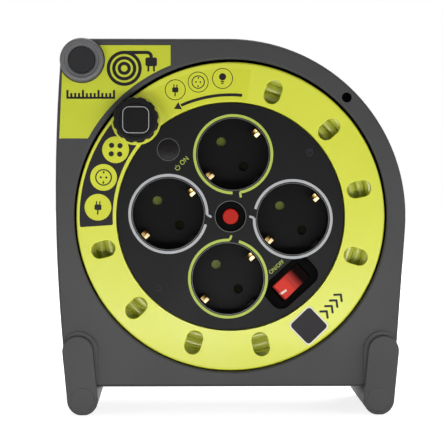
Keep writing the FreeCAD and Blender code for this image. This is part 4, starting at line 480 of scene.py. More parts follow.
def lens_glass(name, colour):
    """Dark tinted lens of an unlit lamp, moulded with fine facets inside."""
    material, tree, shader = new_material(name)
    facets = add_node(tree, "ShaderNodeTexVoronoi", {
        "Vector": own_place(tree), "Scale": 900.0}, feature="F1").outputs["Distance"]
    texture = use_group(tree, moulded_grain, Grain=1800.0)
    base = mixed(tree, shaded(colour, 0.7), shaded(colour, 1.5), facets)
    wire(tree, shader, base, cloudy(tree, texture["Patchiness"], 0.3, 0.42))
    bumped(tree, shader, facets, 0.00003)
    shader.inputs["Specular IOR Level"].default_value = 0.12
    return material


def print_film(name, colour, roughness=0.38, shine=0.25):
    """Label film or ink: nearly even colour with faint flow and fine scratches."""
    return plastic(name, colour, roughness, grain=3000.0, depth=0.000006, patch=0.03,
                   edge=1.1, edge_width=0.0001, gloss_change=0.05, scratches=0.08, shine=shine)


def striped_lead(name, first, second):
    """Insulation in two colours, in long stripes."""
    material, tree, shader = new_material(name)
    bands = add_node(tree, "ShaderNodeTexWave", {
        "Vector": own_place(tree), "Scale": 110.0, "Distortion": 0.4},
        wave_type="BANDS", bands_direction="DIAGONAL").outputs["Fac"]
    texture = use_group(tree, moulded_grain, Grain=3000.0)
    base = mixed(tree, first, second, rescale(tree, bands, 0.45, 0.55))
    wire(tree, shader, base, cloudy(tree, texture["Patchiness"], 0.35, 0.5))
    bumped(tree, shader, texture["Height"], 0.00001)
    return material


# Colours that stay as they are, in the shader's own values
WHITE_PRINT = (0.8, 0.78, 0.7, 1.0)
# Grey of the painted highlight rings round the panel's recesses
RIM_HIGHLIGHT_GREY = (0.11, 0.11, 0.1, 1.0)
# Paler brass of the springs' shallow tongues, a painted highlight on the same metal as the darker
# brass
HIGHLIGHT_BRASS = (0.95, 0.74, 0.42, 1.0)
BRASS = (0.62, 0.4, 0.15, 1.0)
STEEL = (0.52, 0.53, 0.55, 1.0)
DARK_STEEL = (0.022, 0.022, 0.025, 1.0)
LENS_BLACK = (0.006, 0.005, 0.005, 1.0)
LEAD_BROWN = (0.12, 0.045, 0.02, 1.0)
LEAD_BLUE = (0.03, 0.12, 0.45, 1.0)
LEAD_GREEN = (0.04, 0.25, 0.05, 1.0)
LEAD_YELLOW = (0.7, 0.6, 0.03, 1.0)
ROCKER_SHADE = (0.003, 0.0002, 0.0002, 1.0)
SHUTTER_SHADE = (0.008, 0.009, 0.004, 1.0)

MATERIALS = {}


def on_turned_drum(radius, angle):
    """A point of the drum at rest, in the frame's own coordinates."""
    return AXLE + on_face(radius, angle - DRUM_TURN, 0.0)


def make_materials():
    """Every finish of the reel, by the name its pieces ask for."""
    c = colours()
    # Edge factors of 2 and more, and the drum's raised factor for its pale slot rims, paint edge
    # highlights. The rest is rubbed wear.
    MATERIALS.update({
        "case": plastic("Dark grey plastic", linear(c.case), 0.5, grain=1300.0, depth=0.00003,
                        patch=0.06, edge=2.6, edge_width=0.0007, shine=0.3),
        # The grip rings take the case grey lightened 2.3 times: partly a lighter grey of their
        # own, partly painted highlight for the light on their rims.
        "grip_ring": plastic("Grip ring plastic", shaded(linear(c.case), 2.3), 0.36,
                             grain=1500.0, depth=0.00002, patch=0.08, edge=2.6,
                             edge_width=0.0011, coat=0.2),
        "plug": plastic("Plug plastic", linear(c.plug), 0.48, grain=1500.0, edge=2.0,
                        edge_width=0.0004, shine=0.25),
        "grip": rubber_grip("Grip rubber", linear(c.grip)),
        # The panel gets painted shade in its recesses, from just behind its face.
        "panel": plastic("Panel plastic", linear(c.black), 0.42, grain=1700.0, depth=0.00002,
                         patch=0.08, edge=5.0, edge_width=0.0004, scratches=0.12, shine=0.1,
                         painted_shade_from=AXLE.y + PANEL_FACE + 0.8 * MM),
        # Painted shade: the cups take the panel's black at 0.6, darker to stand in for the shade
        # inside the deep socket recesses.
        "cup": plastic("Socket plastic", shaded(linear(c.black), 0.6), 0.46, grain=1900.0,
                       patch=0.08, edge=4.0, edge_width=0.0003, shine=0.07),
        "knob": plastic("Knob plastic", shaded(linear(c.black), 0.6), 0.3, grain=2200.0,
                        depth=0.00001, edge=7.0, edge_width=0.0005, scratches=0.15, shine=0.14),
        "drum": plastic("Drum plastic", linear(c.drum), 0.36, grain=2000.0, depth=0.00001,
                        patch=0.025, edge=1.4, edge_width=0.0006, scratches=0.08, coat=0.08),
        "cable": cable_sheath("Cable sheath", linear(c.cable)),
        "label": print_film("Label film", linear(c.label)),
        "sticker": print_film("Sticker film", shaded(linear(c.drum), 0.96)),
        "lime_print": print_film("Lime print", linear(c.lime), 0.45),
        "silver_print": print_film("Silver print", linear(c.silver), 0.4),
        "white_print": print_film("White print", WHITE_PRINT, 0.4),
        "ink": print_film("Dark print", linear(c.ink), 0.42, shine=0.15),
        # Painted shade: the rocker darkens towards its upper right end, which sinks into the dish.
        "rocker": painted_shade_along(
            plastic("Rocker plastic", linear(c.red), 0.4, grain=2400.0, depth=0.00001,
                    patch=0.06, edge=1.3, edge_width=0.0004),
            on_turned_drum(*SWITCH_AT), on_face(1.0, SWITCH_AT[1] + 90.0 - DRUM_TURN, 0.0),
            start=-2.0 * MM, stop=5.5 * MM, deep=ROCKER_SHADE, shine=0.12),
        "red": plastic("Red plastic", linear(c.reset), 0.36, grain=2400.0,
                       depth=0.00001, patch=0.06, edge=1.5, edge_width=0.0004, shine=0.15),
        "grip_plug": plastic("Grip plug plastic", shaded(linear(c.grip), 0.7), 0.44,
                             grain=1500.0, edge=2.6, edge_width=0.0005, shine=0.2),
        "rim_highlight": plastic("Rim plastic", RIM_HIGHLIGHT_GREY, 0.4, grain=2500.0, edge=1.1),
        # Painted highlight: the springs' shallow tongues take this paler brass, their deeper
        # tongues the darker brass.
        "spring": metal("Spring brass", HIGHLIGHT_BRASS, 0.42),
        "lens": lens_glass("Lamp lens", LENS_BLACK),
        "dark_steel": metal("Dark steel", DARK_STEEL, 0.6),
        "brass": metal("Brass", BRASS, 0.26),
        "steel": metal("Zinc-plated steel", STEEL, 0.34),
        "lead_live": plastic("Brown lead", LEAD_BROWN, 0.42, grain=3000.0),
        "lead_neutral": plastic("Blue lead", LEAD_BLUE, 0.42, grain=3000.0),
        "lead_earth": striped_lead("Earth lead", LEAD_GREEN, LEAD_YELLOW),
    })
    for side, angle in SOCKETS:
        # Painted shade: each shutter is lighter at its upper left pin hole and dark from its
        # middle to the lower right one.
        MATERIALS["shutter_" + side] = painted_shade_along(
            plastic("Shutter plastic " + side, linear(c.shutter), 0.3, grain=2000.0,
                    depth=0.00001, edge=1.1),
            on_turned_drum(SOCKET_CIRCLE, angle), on_face(1.0, PIN_LINE - DRUM_TURN, 0.0),
            start=-11.5 * MM, stop=0.0, deep=SHUTTER_SHADE, shine=0.12)


# Modelling helpers

DEGREES_A_STEP = 2.5
SMOOTH_UP_TO = 30.0
SAME_POINT = 0.001 * MM
AT_END = 0.02 * MM


def start_piece():
    """Object mode with nothing selected."""
    if bpy.context.mode != "OBJECT":
        bpy.ops.object.mode_set(mode="OBJECT")
    bpy.ops.object.select_all(action="DESELECT")


def pick(piece):
    """Selects one piece and nothing else."""
    start_piece()
    piece.select_set(True)
    bpy.context.view_layer.objects.active = piece


def apply_place():
    """Puts the selected piece's place, turn and scale into its mesh."""
    bpy.ops.object.transform_apply(location=True, rotation=True, scale=True)


def edit(select="SELECT"):
    """Edit mode with all or nothing selected."""
    bpy.ops.object.mode_set(mode="EDIT")
    bpy.ops.mesh.select_all(action=select)


def done():
    """Back to object mode."""
    bpy.ops.object.mode_set(mode="OBJECT")


def edit_only(piece, wanted):
    """Edit mode with only the wanted vertices selected."""
    edit("DESELECT")
    bpy.ops.mesh.select_mode(type="VERT")
    done()
    for vertex in piece.data.vertices:
        vertex.select = wanted(vertex)
    bpy.ops.object.mode_set(mode="EDIT")


def face_outward():
    """Turns all faces of the mesh in edit mode outward, and ends its editing."""
    bpy.ops.mesh.select_all(action="SELECT")
    bpy.ops.mesh.normals_make_consistent(inside=False)
    done()


def on_face(radius, angle, depth):
    """A point of the drum or case, from the axle's middle, by radius and angle in degrees."""
    angle = math.radians(angle)
    return Vector((radius * math.cos(angle), depth, radius * math.sin(angle)))


def rounded_sheet(name, width, height, centre, turn=0.0, corner=0.0):
    """A flat rectangle that faces the front, its corners rounded; turn is counter-clockwise."""
    start_piece()
    bpy.ops.mesh.primitive_plane_add(
        size=1.0, location=centre, rotation=(math.pi / 2, -math.radians(turn), 0.0))
    sheet = bpy.context.object
    sheet.name = name
    sheet.scale = (width, height, 1.0)
    apply_place()
    if corner:
        edit()
        bpy.ops.mesh.bevel(offset=corner, segments=6, affect="VERTICES")
        done()
    return sheet


def round_sheet(name, radius, centre, corners=48):
    """A flat disc that faces the front."""
    start_piece()
    bpy.ops.mesh.primitive_circle_add(
        vertices=corners, radius=radius, fill_type="NGON", location=centre,
        rotation=(math.pi / 2, 0.0, 0.0))
    sheet = bpy.context.object
    sheet.name = name
    apply_place()
    return sheet


def arc_sheet(name, inner, outer, start, stop, depth, middle=Vector((0.0, 0.0, 0.0)), corner=0.0):
    """A flat band round middle, spun counter-clockwise from one angle to the other."""
    start_piece()
    bpy.ops.mesh.primitive_plane_add(size=1.0, location=(0.0, 0.0, 0.0))
    sheet = bpy.context.object
    sheet.name = name
    edit_only(sheet, lambda vertex: vertex.index > 1)
    bpy.ops.mesh.delete(type="VERT")
    done()
    for vertex, radius in zip(sheet.data.vertices, (inner, outer)):
        vertex.co = middle + on_face(radius, start, depth)
    edit()
    sweep = math.radians(stop - start)
    steps = max(6, int(math.degrees(sweep) / DEGREES_A_STEP))
    bpy.ops.mesh.spin(
        steps=steps, angle=sweep, center=middle + Vector((0.0, depth, 0.0)), axis=(0.0, 1.0, 0.0))
    bpy.ops.mesh.select_all(action="SELECT")
    bpy.ops.mesh.remove_doubles(threshold=SAME_POINT)
    done()
    if corner:
        ends = [middle + on_face(radius, angle, depth)
                for radius in (inner, outer) for angle in (start, stop)]
        edit_only(sheet, lambda vertex: any(
            (vertex.co - end).length < AT_END for end in ends))
        bpy.ops.mesh.bevel(offset=corner, segments=5, affect="VERTICES")
        done()
    return sheet


def thicken(sheet, thick, soften=0.0):
    """Draws a flat sheet forward into a plate, and softens its outer edges."""
    pick(sheet)
    edit()
    bpy.ops.mesh.extrude_region_move(TRANSFORM_OT_translate={"value": (0.0, -thick, 0.0)})
    face_outward()
    if soften:
        bevel = sheet.modifiers.new("Soft edge", "BEVEL")
        bevel.width = soften
        bevel.segments = 2
        bevel.limit_method = "ANGLE"
        bpy.ops.object.modifier_apply(modifier=bevel.name)
    return sheet


def join(name, pieces):
    """Several meshes as one piece."""
    start_piece()
    for piece in pieces:
        piece.select_set(True)
    bpy.context.view_layer.objects.active = pieces[0]
    if len(pieces) > 1:
        bpy.ops.object.join()
    pieces[0].name = name
    return pieces[0]


def carry(piece, turned):
    """Moves a piece from the axle's middle to its place, turned with the drum or not."""
    pick(piece)
    piece.rotation_euler = (0.0, math.radians(DRUM_TURN) if turned else 0.0, 0.0)
    piece.location = AXLE
    apply_place()


def attach(piece, body, material):
    """Gives a piece that stands in its place its finish, and lets it ride on a body."""
    pick(piece)
    bpy.ops.object.shade_smooth_by_angle(angle=math.radians(SMOOTH_UP_TO))
    piece.data.materials.clear()
    piece.data.materials.append(MATERIALS[material])
    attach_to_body(piece, body)
    return piece


def settle(piece, body, material):
    """Carries a piece that was made round the axle's middle to its body."""
    carry(piece, body != "case")
    return attach(piece, body, material)


# The wound cable

def wound_layer(name, radius, first_depth, turns, section=14, steps=56):
    """One layer of cable: a round section carried round the axle by a screw."""
    start_piece()
    bpy.ops.mesh.primitive_circle_add(
        vertices=section, radius=CABLE_RADIUS, location=(0.0, first_depth, radius),
        rotation=(0.0, math.pi / 2, 0.0))
    layer = bpy.context.object
    layer.name = name
    apply_place()
    screw = layer.modifiers.new("Turns", "SCREW")
    screw.axis = "Y"
    screw.angle = 2.0 * math.pi
    screw.screw_offset = CABLE_PITCH
    screw.iterations = int(turns)
    screw.steps = steps
    screw.render_steps = steps
    screw.use_smooth_shade = True
    bpy.ops.object.modifier_apply(modifier=screw.name)
    return layer


def open_end(layer, last):
    """Selects the open end ring at the start or at the end of a wound layer."""
    depths = [vertex.co.y for vertex in layer.data.vertices]
    middle = max(depths) - CABLE_RADIUS if last else min(depths) + CABLE_RADIUS
    around = CABLE_RADIUS * 1.05
    edit_only(layer, lambda vertex: (
        abs(vertex.co.x) < AT_END and vertex.co.z > 0.0
        and abs(vertex.co.y - middle) < around))


def close_ends(layer, run=0.0):
    """Straightens both ends for a short run and closes them."""
    for last, side in ((False, -1.0), (True, 1.0)):
        open_end(layer, last)
        if run:
            bpy.ops.mesh.extrude_region_move(TRANSFORM_OT_translate={"value": (side * run, 0, 0)})
        bpy.ops.mesh.edge_face_add()
        done()
    edit()
    face_outward()


def tube_through(name, points, radius):
    """A round tube along straight runs with rounded corners."""
    start_piece()
    data = bpy.data.curves.new(name, "CURVE")
    data.dimensions = "3D"
    spline = data.splines.new("NURBS")
    spline.points.add(len(points) - 1)
    for knot, place in zip(spline.points, points):
        knot.co = (*place, 1.0)
    spline.order_u = 3
    spline.use_endpoint_u = True
    spline.resolution_u = 10
    data.bevel_depth = radius
    data.bevel_resolution = 4
    data.use_fill_caps = True
    tube = bpy.data.objects.new(name, data)
    bpy.context.scene.collection.objects.link(tube)
    tube.select_set(True)
    bpy.context.view_layer.objects.active = tube
    bpy.ops.object.convert(target="MESH")
    return bpy.context.object


class REEL_OT_cable(bpy.types.Operator):
    """Winds the cable's layers and draws its inner end"""

    bl_idname = "reel.cable"
    bl_label = "Wind the cable"

    def execute(self, context):
        first = CORE_FRONT + CABLE_RADIUS
        outer = wound_layer("cable_outer_layer", LAYER_RADII[-1], first, CABLE_TURNS,
                            section=20, steps=96)
        close_ends(outer, 2.0 * CABLE_RADIUS)
        settle(outer, "drum", "cable")
        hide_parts("cable_winding")
        layers = []
        for number, radius in enumerate(LAYER_RADII[:-1], start=1):
            nested = (len(LAYER_RADII) - number) % 2
            layer = wound_layer("layer_%d" % number, radius, first + nested * CABLE_PITCH / 2,
                                CABLE_TURNS - nested)
            close_ends(layer)
            layers.append(layer)
        inner = join("cable_inner_layers", layers)
        settle(inner, "drum", "cable")
        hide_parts("cable_core")
        start, inward = -(HUB_RADIUS + RUN_GAP), 0.75
        tail = tube_through("cable_inner_end", [
            Vector((start, TAIL_DEPTH, 0.0)),
            Vector((start * inward, TAIL_DEPTH, 0.0)),
            Vector((-TAIL_CIRCLE, TAIL_DEPTH, 0.0)),
            Vector((-TAIL_CIRCLE, TAIL_DEPTH / 2, 0.0)),
            Vector((-TAIL_CIRCLE, COVER_FRONT, 0.0)),
        ], CABLE_RADIUS)
        settle(tail, "drum", "cable")
        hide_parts("cable_tail")
        return {"FINISHED"}


# Finishes of the solid pieces

FINISHES = {
    "case": ("front_shell", "rear_shell", "grip_core", "left_foot_bar", "right_foot_bar",
             "left_foot_front_cover", "left_foot_rear_cover", "right_foot_front_cover",
             "right_foot_rear_cover"),
    "grip_ring": ("grip_front_ring", "grip_rear_ring"),
    "plug": ("foot_plugs",),
    "grip_plug": ("grip_plugs",),
    "grip": ("grip_sleeve",),
    "panel": ("socket_panel", "cable_guide", "lamp_body", "thermal_cutout", "contact_carrier",
              "back_cover", "axle", "switch_body"),
    "cup": ["socket_cup_" + side for side, angle in SOCKETS],
    "knob": ("winding_knob", "knob_cap"),
    "drum": ("front_ring", "hub", "rear_cheek"),
    "brass": ("earth_clips", "pin_contacts", "live_bar", "neutral_bar", "earth_bar",
              "bearing_bush"),
    "steel": ("grip_bolt", "grip_nut", "foot_screws", "axle_washer", "axle_bolt", "axle_nut",
              "cheek_screws", "knob_pin"),
    "dark_steel": ("case_screw", "panel_screws"),
    "red": ("reset_button",),
    "rocker": ("rocker",),
    "lens": ("lamp_lens",),
    "label": ("case_label",),
}
FINISHES.update({"shutter_" + side: ["shutter_" + side] for side, angle in SOCKETS})


def dress(finish):
    """Gives the nodes of one finish their material."""
    for name in FINISHES[finish]:
        node = frame["nodes"][name]
        for slot in node.material_slots:
            slot.material = MATERIALS[finish]


class REEL_OT_finishes(bpy.types.Operator):
    """Makes the materials and gives them to the reel's solid pieces"""

    bl_idname = "reel.finishes"
    bl_label = "Finish the solid pieces"

    def execute(self, context):
        make_materials()
        for finish in FINISHES:
            dress(finish)
        return {"FINISHED"}


# Leads inside the drum

class REEL_OT_leads(bpy.types.Operator):
    """Draws the coloured leads between the cable, the cut-out, the switch and the bars"""

    bl_idname = "reel.leads"
    bl_label = "Draw the inner leads"

    def execute(self, context):
        pick(frame["nodes"]["inner_leads"])
        bpy.ops.object.duplicate()
        copy = bpy.context.object
        for key in [key for key in copy.keys() if key.startswith("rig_")]:
            del copy[key]
        copy.parent = None
        edit()
        bpy.ops.mesh.remove_doubles(threshold=SAME_POINT)
        bpy.ops.mesh.separate(type="LOOSE")
        done()
        parts = sorted(context.selected_objects, key=lambda part: min(
            vertex.co.x for vertex in part.data.vertices))
        finishes = {"lead_earth": "lead_earth", "lead_neutral": "lead_neutral",
                    "lead_live": "lead_live", "lead_switched": "lead_live",
                    "lead_fed": "lead_live"}
        for part, (name, finish) in zip(parts, finishes.items()):
            part.name = name
            part.data.materials.clear()
            part.data.materials.append(MATERIALS[finish])
            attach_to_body(part, "drum")
        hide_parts("inner_leads")
        return {"FINISHED"}


# Films and prints

def printed(name, sheets, body, material, thick, soften=0.0):
    """Flat sheets thickened and settled as one printed piece.

    Sheets that lie over each other differ a little in thickness, so that no faces coincide.
    """
    more, kinds = 0.08, 5
    plates = [thicken(sheet, thick * (1.0 + more * (number % kinds)), soften)
              for number, sheet in enumerate(sheets)]
    return settle(join(name, plates), body, material)


def bar(at, long, wide, turn=0.0, corner=0.0):
    """A flat bar round a point, its long side at an angle."""
    return rounded_sheet("sheet", long, wide, at, turn, corner)


def dot(at, radius):
    """A small flat disc."""
    return round_sheet("sheet", radius, at, 32)


def ring(at, radius, line, start=0.0, stop=360.0):
    """A flat line on a circle round a point."""
    middle = Vector((at.x, 0.0, at.z))
    return arc_sheet("sheet", radius - line / 2, radius + line / 2, start, stop, at.y, middle)


def arrow_head(at, size, direction):
    """A flat triangle that points in a direction."""
    start_piece()
    bpy.ops.mesh.primitive_circle_add(
        vertices=3, radius=size, fill_type="NGON", location=at,
        rotation=(math.pi / 2, -math.radians(direction - 90.0), 0.0))
    head = bpy.context.object
    apply_place()
    return head


def beside(at, right, up, turn=0.0):
    """A point to the right of and above another, in a frame turned by an angle."""
    turn = math.radians(turn)
    return at + Vector((
        right * math.cos(turn) - up * math.sin(turn), 0.0,
        right * math.sin(turn) + up * math.cos(turn)))


def socket_sign(at, size):
    """An earthed socket's face: a round outline, two pin holes and two clips."""
    marks = [ring(at, size, size * 0.16)]
    for side in (-1, 1):
        marks.append(dot(beside(at, side * size * 0.36, 0.0), size * 0.14))
    for side in (1, -1):
        marks.append(bar(beside(at, 0.0, side * size * 0.66), size * 0.2, size * 0.3))
    return marks


def plug_sign(at, size):
    """A plug with two pins and a short lead."""
    marks = [bar(at, size, size * 0.8, 0.0, size * 0.2)]
    for side in (-1, 1):
        marks.append(bar(beside(at, side * size * 0.24, size * 0.62), size * 0.17, size * 0.5))
    marks.append(bar(beside(at, 0.0, -size * 0.7), size * 0.2, size * 0.7))
    return marks


def lamp_sign(at, size):
    """A lamp with its socket."""
    return [
        dot(beside(at, 0.0, size * 0.28), size * 0.58),
        bar(beside(at, 0.0, -size * 0.48), size * 0.56, size * 0.2),
        bar(beside(at, 0.0, -size * 0.78), size * 0.42, size * 0.18),
    ]


def switch_sign(at, size, turn):
    """The usual mark of a power switch: an open ring and a stroke."""
    line, gap_end, sweep = size * 0.26, turn + 125.0, 290.0
    return [
        ring(at, size, line, gap_end, gap_end + sweep),
        bar(beside(at, 0.0, size * 0.75, turn), line, size, turn),
    ]


def lettering(words, at, long, turn):
    """Plain capital letters as a flat sheet, as long as given, centred on a point."""
    start_piece()
    bpy.ops.object.text_add()
    text = bpy.context.object
    text.data.body = words
    text.data.align_x = "CENTER"
    text.data.align_y = "CENTER"
    text.data.resolution_u = 3
    bpy.ops.object.convert(target="MESH")
    sheet = bpy.context.object
    fit, taller = long / sheet.dimensions.x, 1.15
    sheet.scale = (fit, fit * taller, 1.0)
    sheet.rotation_euler = (math.pi / 2, -math.radians(turn), 0.0)
    sheet.location = at
    apply_place()
    return sheet


# Films on the ring: radii from and to, directions from and to
STICKER = {"inner": 66.4 * MM, "outer": 84.4 * MM, "start": 84.4, "stop": 125.6}
DARK_BAND = {"inner": 67.3 * MM, "outer": 86.1 * MM, "start": 143.4, "stop": 186.4}


class REEL_OT_ring_films(bpy.types.Operator):
    """Sticks the films on the front ring and prints their plain marks"""

    bl_idname = "reel.ring_films"
    bl_label = "Films on the ring"

    def execute(self, context):
        self.sticker(prints())
        self.dark_band(prints())
        return {"FINISHED"}

    def sticker(self, p):
        """Film in the ring's colour with three small signs over a winding arrow."""
        film = arc_sheet("sheet", depth=RING_FACE, corner=1.4 * MM, **STICKER)
        printed("ring_sticker", [film], "drum", "sticker", p.film)
        face = RING_FACE - p.film
        signs_at, sign_size = 78.8 * MM, 3.5 * MM
        circle, line = 5.7 * MM, 0.42 * MM
        marks = []
        for angle, sign in ((116.0, plug_sign), (106.0, socket_sign), (95.8, lamp_sign)):
            middle = on_face(signs_at, angle, face)
            marks.append(ring(middle, circle, line))
            marks.extend(sign(middle, sign_size))
        printed("sticker_signs", marks, "drum", "ink", p.ink)
        arrow_at, arrow_line, head = 69.4 * MM, 1.7 * MM, 2.7 * MM
        start, stop, tip = 87.0, 116.5, 118.0
        arrow = [ring(Vector((0.0, face, 0.0)), arrow_at, arrow_line, start, stop),
                 arrow_head(on_face(arrow_at, tip, face), head, tip + 90.0)]
        printed("sticker_arrow", arrow, "drum", "ink", p.ink)

    def dark_band(self, p):
        """Dark film beside the knob with three discs."""
        film = arc_sheet("sheet", depth=RING_FACE, corner=0.9 * MM, **DARK_BAND)
        printed("dark_band", [film], "drum", "ink", p.film)
        discs_at, directions = 75.8 * MM, (152.2, 165.2, 178.3)
        middles = [on_face(discs_at, angle, RING_FACE - p.film) for angle in directions]
        printed("band_discs", [round_sheet("sheet", p.disc, middle) for middle in middles],
                "drum", "sticker", p.ink)
        dots, socket, plug = [middle + Vector((0.0, -p.ink, 0.0)) for middle in middles]
        aside, dot_size, socket_size, plug_size = 2.4 * MM, 1.5 * MM, 4.4 * MM, 4.0 * MM
        marks = [dot(beside(dots, right * aside, up * aside), dot_size)
                 for right in (-1, 1) for up in (-1, 1)]
        marks += socket_sign(socket, socket_size) + plug_sign(plug, plug_size)
        printed("disc_signs", marks, "drum", "ink", p.ink)


class REEL_OT_case_signs(bpy.types.Operator):
    """Prints a coil with a plug and a measuring scale on the case's label"""

    bl_idname = "reel.case_signs"
    bl_label = "Signs on the case label"

    def execute(self, context):
        face = CASE_FACE - LABEL_THICK
        printed("label_coil", self.coil(face), "case", "ink", prints().ink)
        printed("label_scale", self.scale(face), "case", "ink", prints().ink)
        return {"FINISHED"}

    def coil(self, face):
        """Three turns of cable, the run from the outer one, its bend, and the plug it ends in."""
        middle, plug = Vector((-60.5 * MM, face, 84.3 * MM)), Vector((-45.2 * MM, face, 88.0 * MM))
        reach, step, line, bend = 9.0 * MM, 3.1 * MM, 1.9 * MM, 2.4 * MM
        marks = [ring(middle, reach - number * step, line) for number in range(3)]
        run = plug.x - bend - middle.x
        drop = middle.z + reach - bend - plug.z
        marks.append(bar(beside(middle, run / 2, reach), run, line))
        marks.append(ring(beside(middle, run, reach - bend), bend, line, 0.0, 90.0))
        marks.append(bar(beside(plug, 0.0, drop / 2), line, drop))
        body_long, body_high, corner = 6.6 * MM, 5.0 * MM, 1.1 * MM
        pin_aside, pin_under, pin_wide, pin_long = 1.6 * MM, 3.9 * MM, 1.1 * MM, 3.2 * MM
        marks.append(bar(plug, body_long, body_high, 0.0, corner))
        for side in (-1, 1):
            marks.append(bar(beside(plug, side * pin_aside, -pin_under), pin_wide, pin_long))
        return marks

    def scale(self, face):
        """A measuring scale: a line with ticks, each fourth of them long."""
        left = Vector((-93.3 * MM, face, 67.6 * MM))
        long, line, tall, low = 27.6 * MM, 1.2 * MM, 4.4 * MM, 2.7 * MM
        ticks, tall_each = 13, 4
        marks = [bar(beside(left, long / 2, 0.0), long, line)]
        for number in range(ticks):
            high = low if number % tall_each else tall
            across = line / 2 + (long - line) * number / (ticks - 1)
            marks.append(bar(beside(left, across, high / 2), line, high))
        return marks


EMBLEM_AT = (76.8 * MM, -52.0)
EMBLEM_TURN = 46.2


class REEL_OT_emblem(bpy.types.Operator):
    """Adds the bare square plate on the ring and the plain arrows beside it"""

    bl_idname = "reel.emblem"
    bl_label = "Square plate"

    def execute(self, context):
        self.plate(prints().emblem)
        self.arrows()
        return {"FINISHED"}

    def plate(self, side):
        """A pale square with a bare dark field."""
        thick, field_thick, border, soften = 0.3 * MM, 0.1 * MM, 0.75 * MM, 0.05 * MM
        corner, inner_corner = 2.4 * MM, 1.9 * MM
        inner = side - 2.0 * border
        pale = rounded_sheet("sheet", side, side, on_face(*EMBLEM_AT, RING_FACE),
                             EMBLEM_TURN, corner)
        printed("emblem_border", [pale], "drum", "white_print", thick, soften)
        field = rounded_sheet("sheet", inner, inner, on_face(*EMBLEM_AT, RING_FACE - thick),
                              EMBLEM_TURN, inner_corner)
        printed("emblem_field", [field], "drum", "ink", field_thick)

    def arrows(self):
        """Four arrows of two arms each, one behind the other along the ring."""
        radius, first, step = 77.2 * MM, -42.2, 3.1
        back, aside, spread, farther_round = 1.3 * MM, 1.45 * MM, 48.0, 6.0
        turn = EMBLEM_TURN + farther_round
        long, wide = 4.6 * MM, 1.25 * MM
        arms = []
        for number in range(4):
            tip = on_face(radius, first + number * step, RING_FACE)
            for side in (-1, 1):
                arm = beside(tip, -back, side * aside, turn)
                arms.append(bar(arm, long, wide, turn - side * spread))
        printed("ring_arrows", arms, "drum", "ink", prints().ink)


class REEL_OT_panel_signs(bpy.types.Operator):
    """Prints the switch's and the lamp's marks on the panel and the stroke on the rocker"""

    bl_idname = "reel.panel_signs"
    bl_label = "Signs on the panel"

    def execute(self, context):
        ink = prints().ink
        self.switch_words(ink)
        self.lamp_words(ink)
        self.rocker_stroke(ink)
        return {"FINISHED"}

    def switch_words(self, ink):
        """The words beside the switch."""
        at, long, turn = on_face(39.2 * MM, -45.4, PANEL_FACE), 10.4 * MM, 43.0
        words = lettering("ON/OFF", at, long, turn)
        printed("switch_words", [words], "drum", "lime_print", ink)

    def lamp_words(self, ink):
        """The sign and the word beside the lamp."""
        at, turn = on_face(41.3 * MM, 135.2, PANEL_FACE), 46.0
        sign_size, word_long = 1.3 * MM, 5.2 * MM
        marks = switch_sign(beside(at, -3.3 * MM, -0.2 * MM, turn), sign_size, turn)
        marks.append(lettering("ON", beside(at, 2.2 * MM, 0.0, turn), word_long, turn))
        printed("lamp_words", marks, "drum", "lime_print", ink)

    def rocker_stroke(self, ink):
        """The stroke for on, laid over the rocker's raised end."""
        at, turn = Vector((31.9 * MM, RING_FACE, -42.15 * MM)), 36.0
        long, wide = 4.6 * MM, 1.2 * MM
        stroke = rounded_sheet("rocker_stroke", long, wide, at, turn)
        edit()
        bpy.ops.mesh.subdivide(number_cuts=16)
        done()
        carry(stroke, True)
        wrap = stroke.modifiers.new("On the rocker", "SHRINKWRAP")
        wrap.target = frame["nodes"]["rocker"]
        wrap.wrap_method = "PROJECT"
        wrap.use_project_y = True
        wrap.use_negative_direction = False
        wrap.use_positive_direction = True
        bpy.ops.object.modifier_apply(modifier=wrap.name)
        thicken(stroke, ink)
        attach(stroke, "rocker", "white_print")


# Printed ring of each socket: gap from and to, the end with the hook, the hook's direction
RING_GAPS = {
    "top": (-88.6, -77.5, -77.5, -77.2),
    "left": (-13.4, 1.3, 1.3, -26.6),
    "right": (167.3, 180.9, 180.9, 161.6),
    "bottom": (76.0, 89.9, 89.9, 70.6),
}


class REEL_OT_socket_rings(bpy.types.Operator):
    """Prints the line round each socket, with its hooked end"""

    bl_idname = "reel.socket_rings"
    bl_label = "Rings round the sockets"

    def execute(self, context):
        p = prints()
        half, hook_corner = p.socket_line / 2, 0.3 * MM
        for name, angle in SOCKETS:
            gap_from, gap_to, hooked, hook_way = RING_GAPS[name]
            middle = on_face(SOCKET_CIRCLE, angle, 0.0)
            line = arc_sheet("sheet", p.socket_ring - half, p.socket_ring + half,
                             gap_to, gap_from + 360.0, PANEL_FACE, middle)
            foot = middle + on_face(p.socket_ring, hooked, PANEL_FACE)
            centre = foot + on_face(p.hook / 2, hook_way, 0.0)
            hook = rounded_sheet("sheet", p.hook, p.socket_line * 0.8, centre, hook_way,
                                 hook_corner)
            finish = "lime_print" if name in ("top", "bottom") else "silver_print"
            printed("socket_print_" + name, [line, hook], "drum", finish, p.ink)
        return {"FINISHED"}


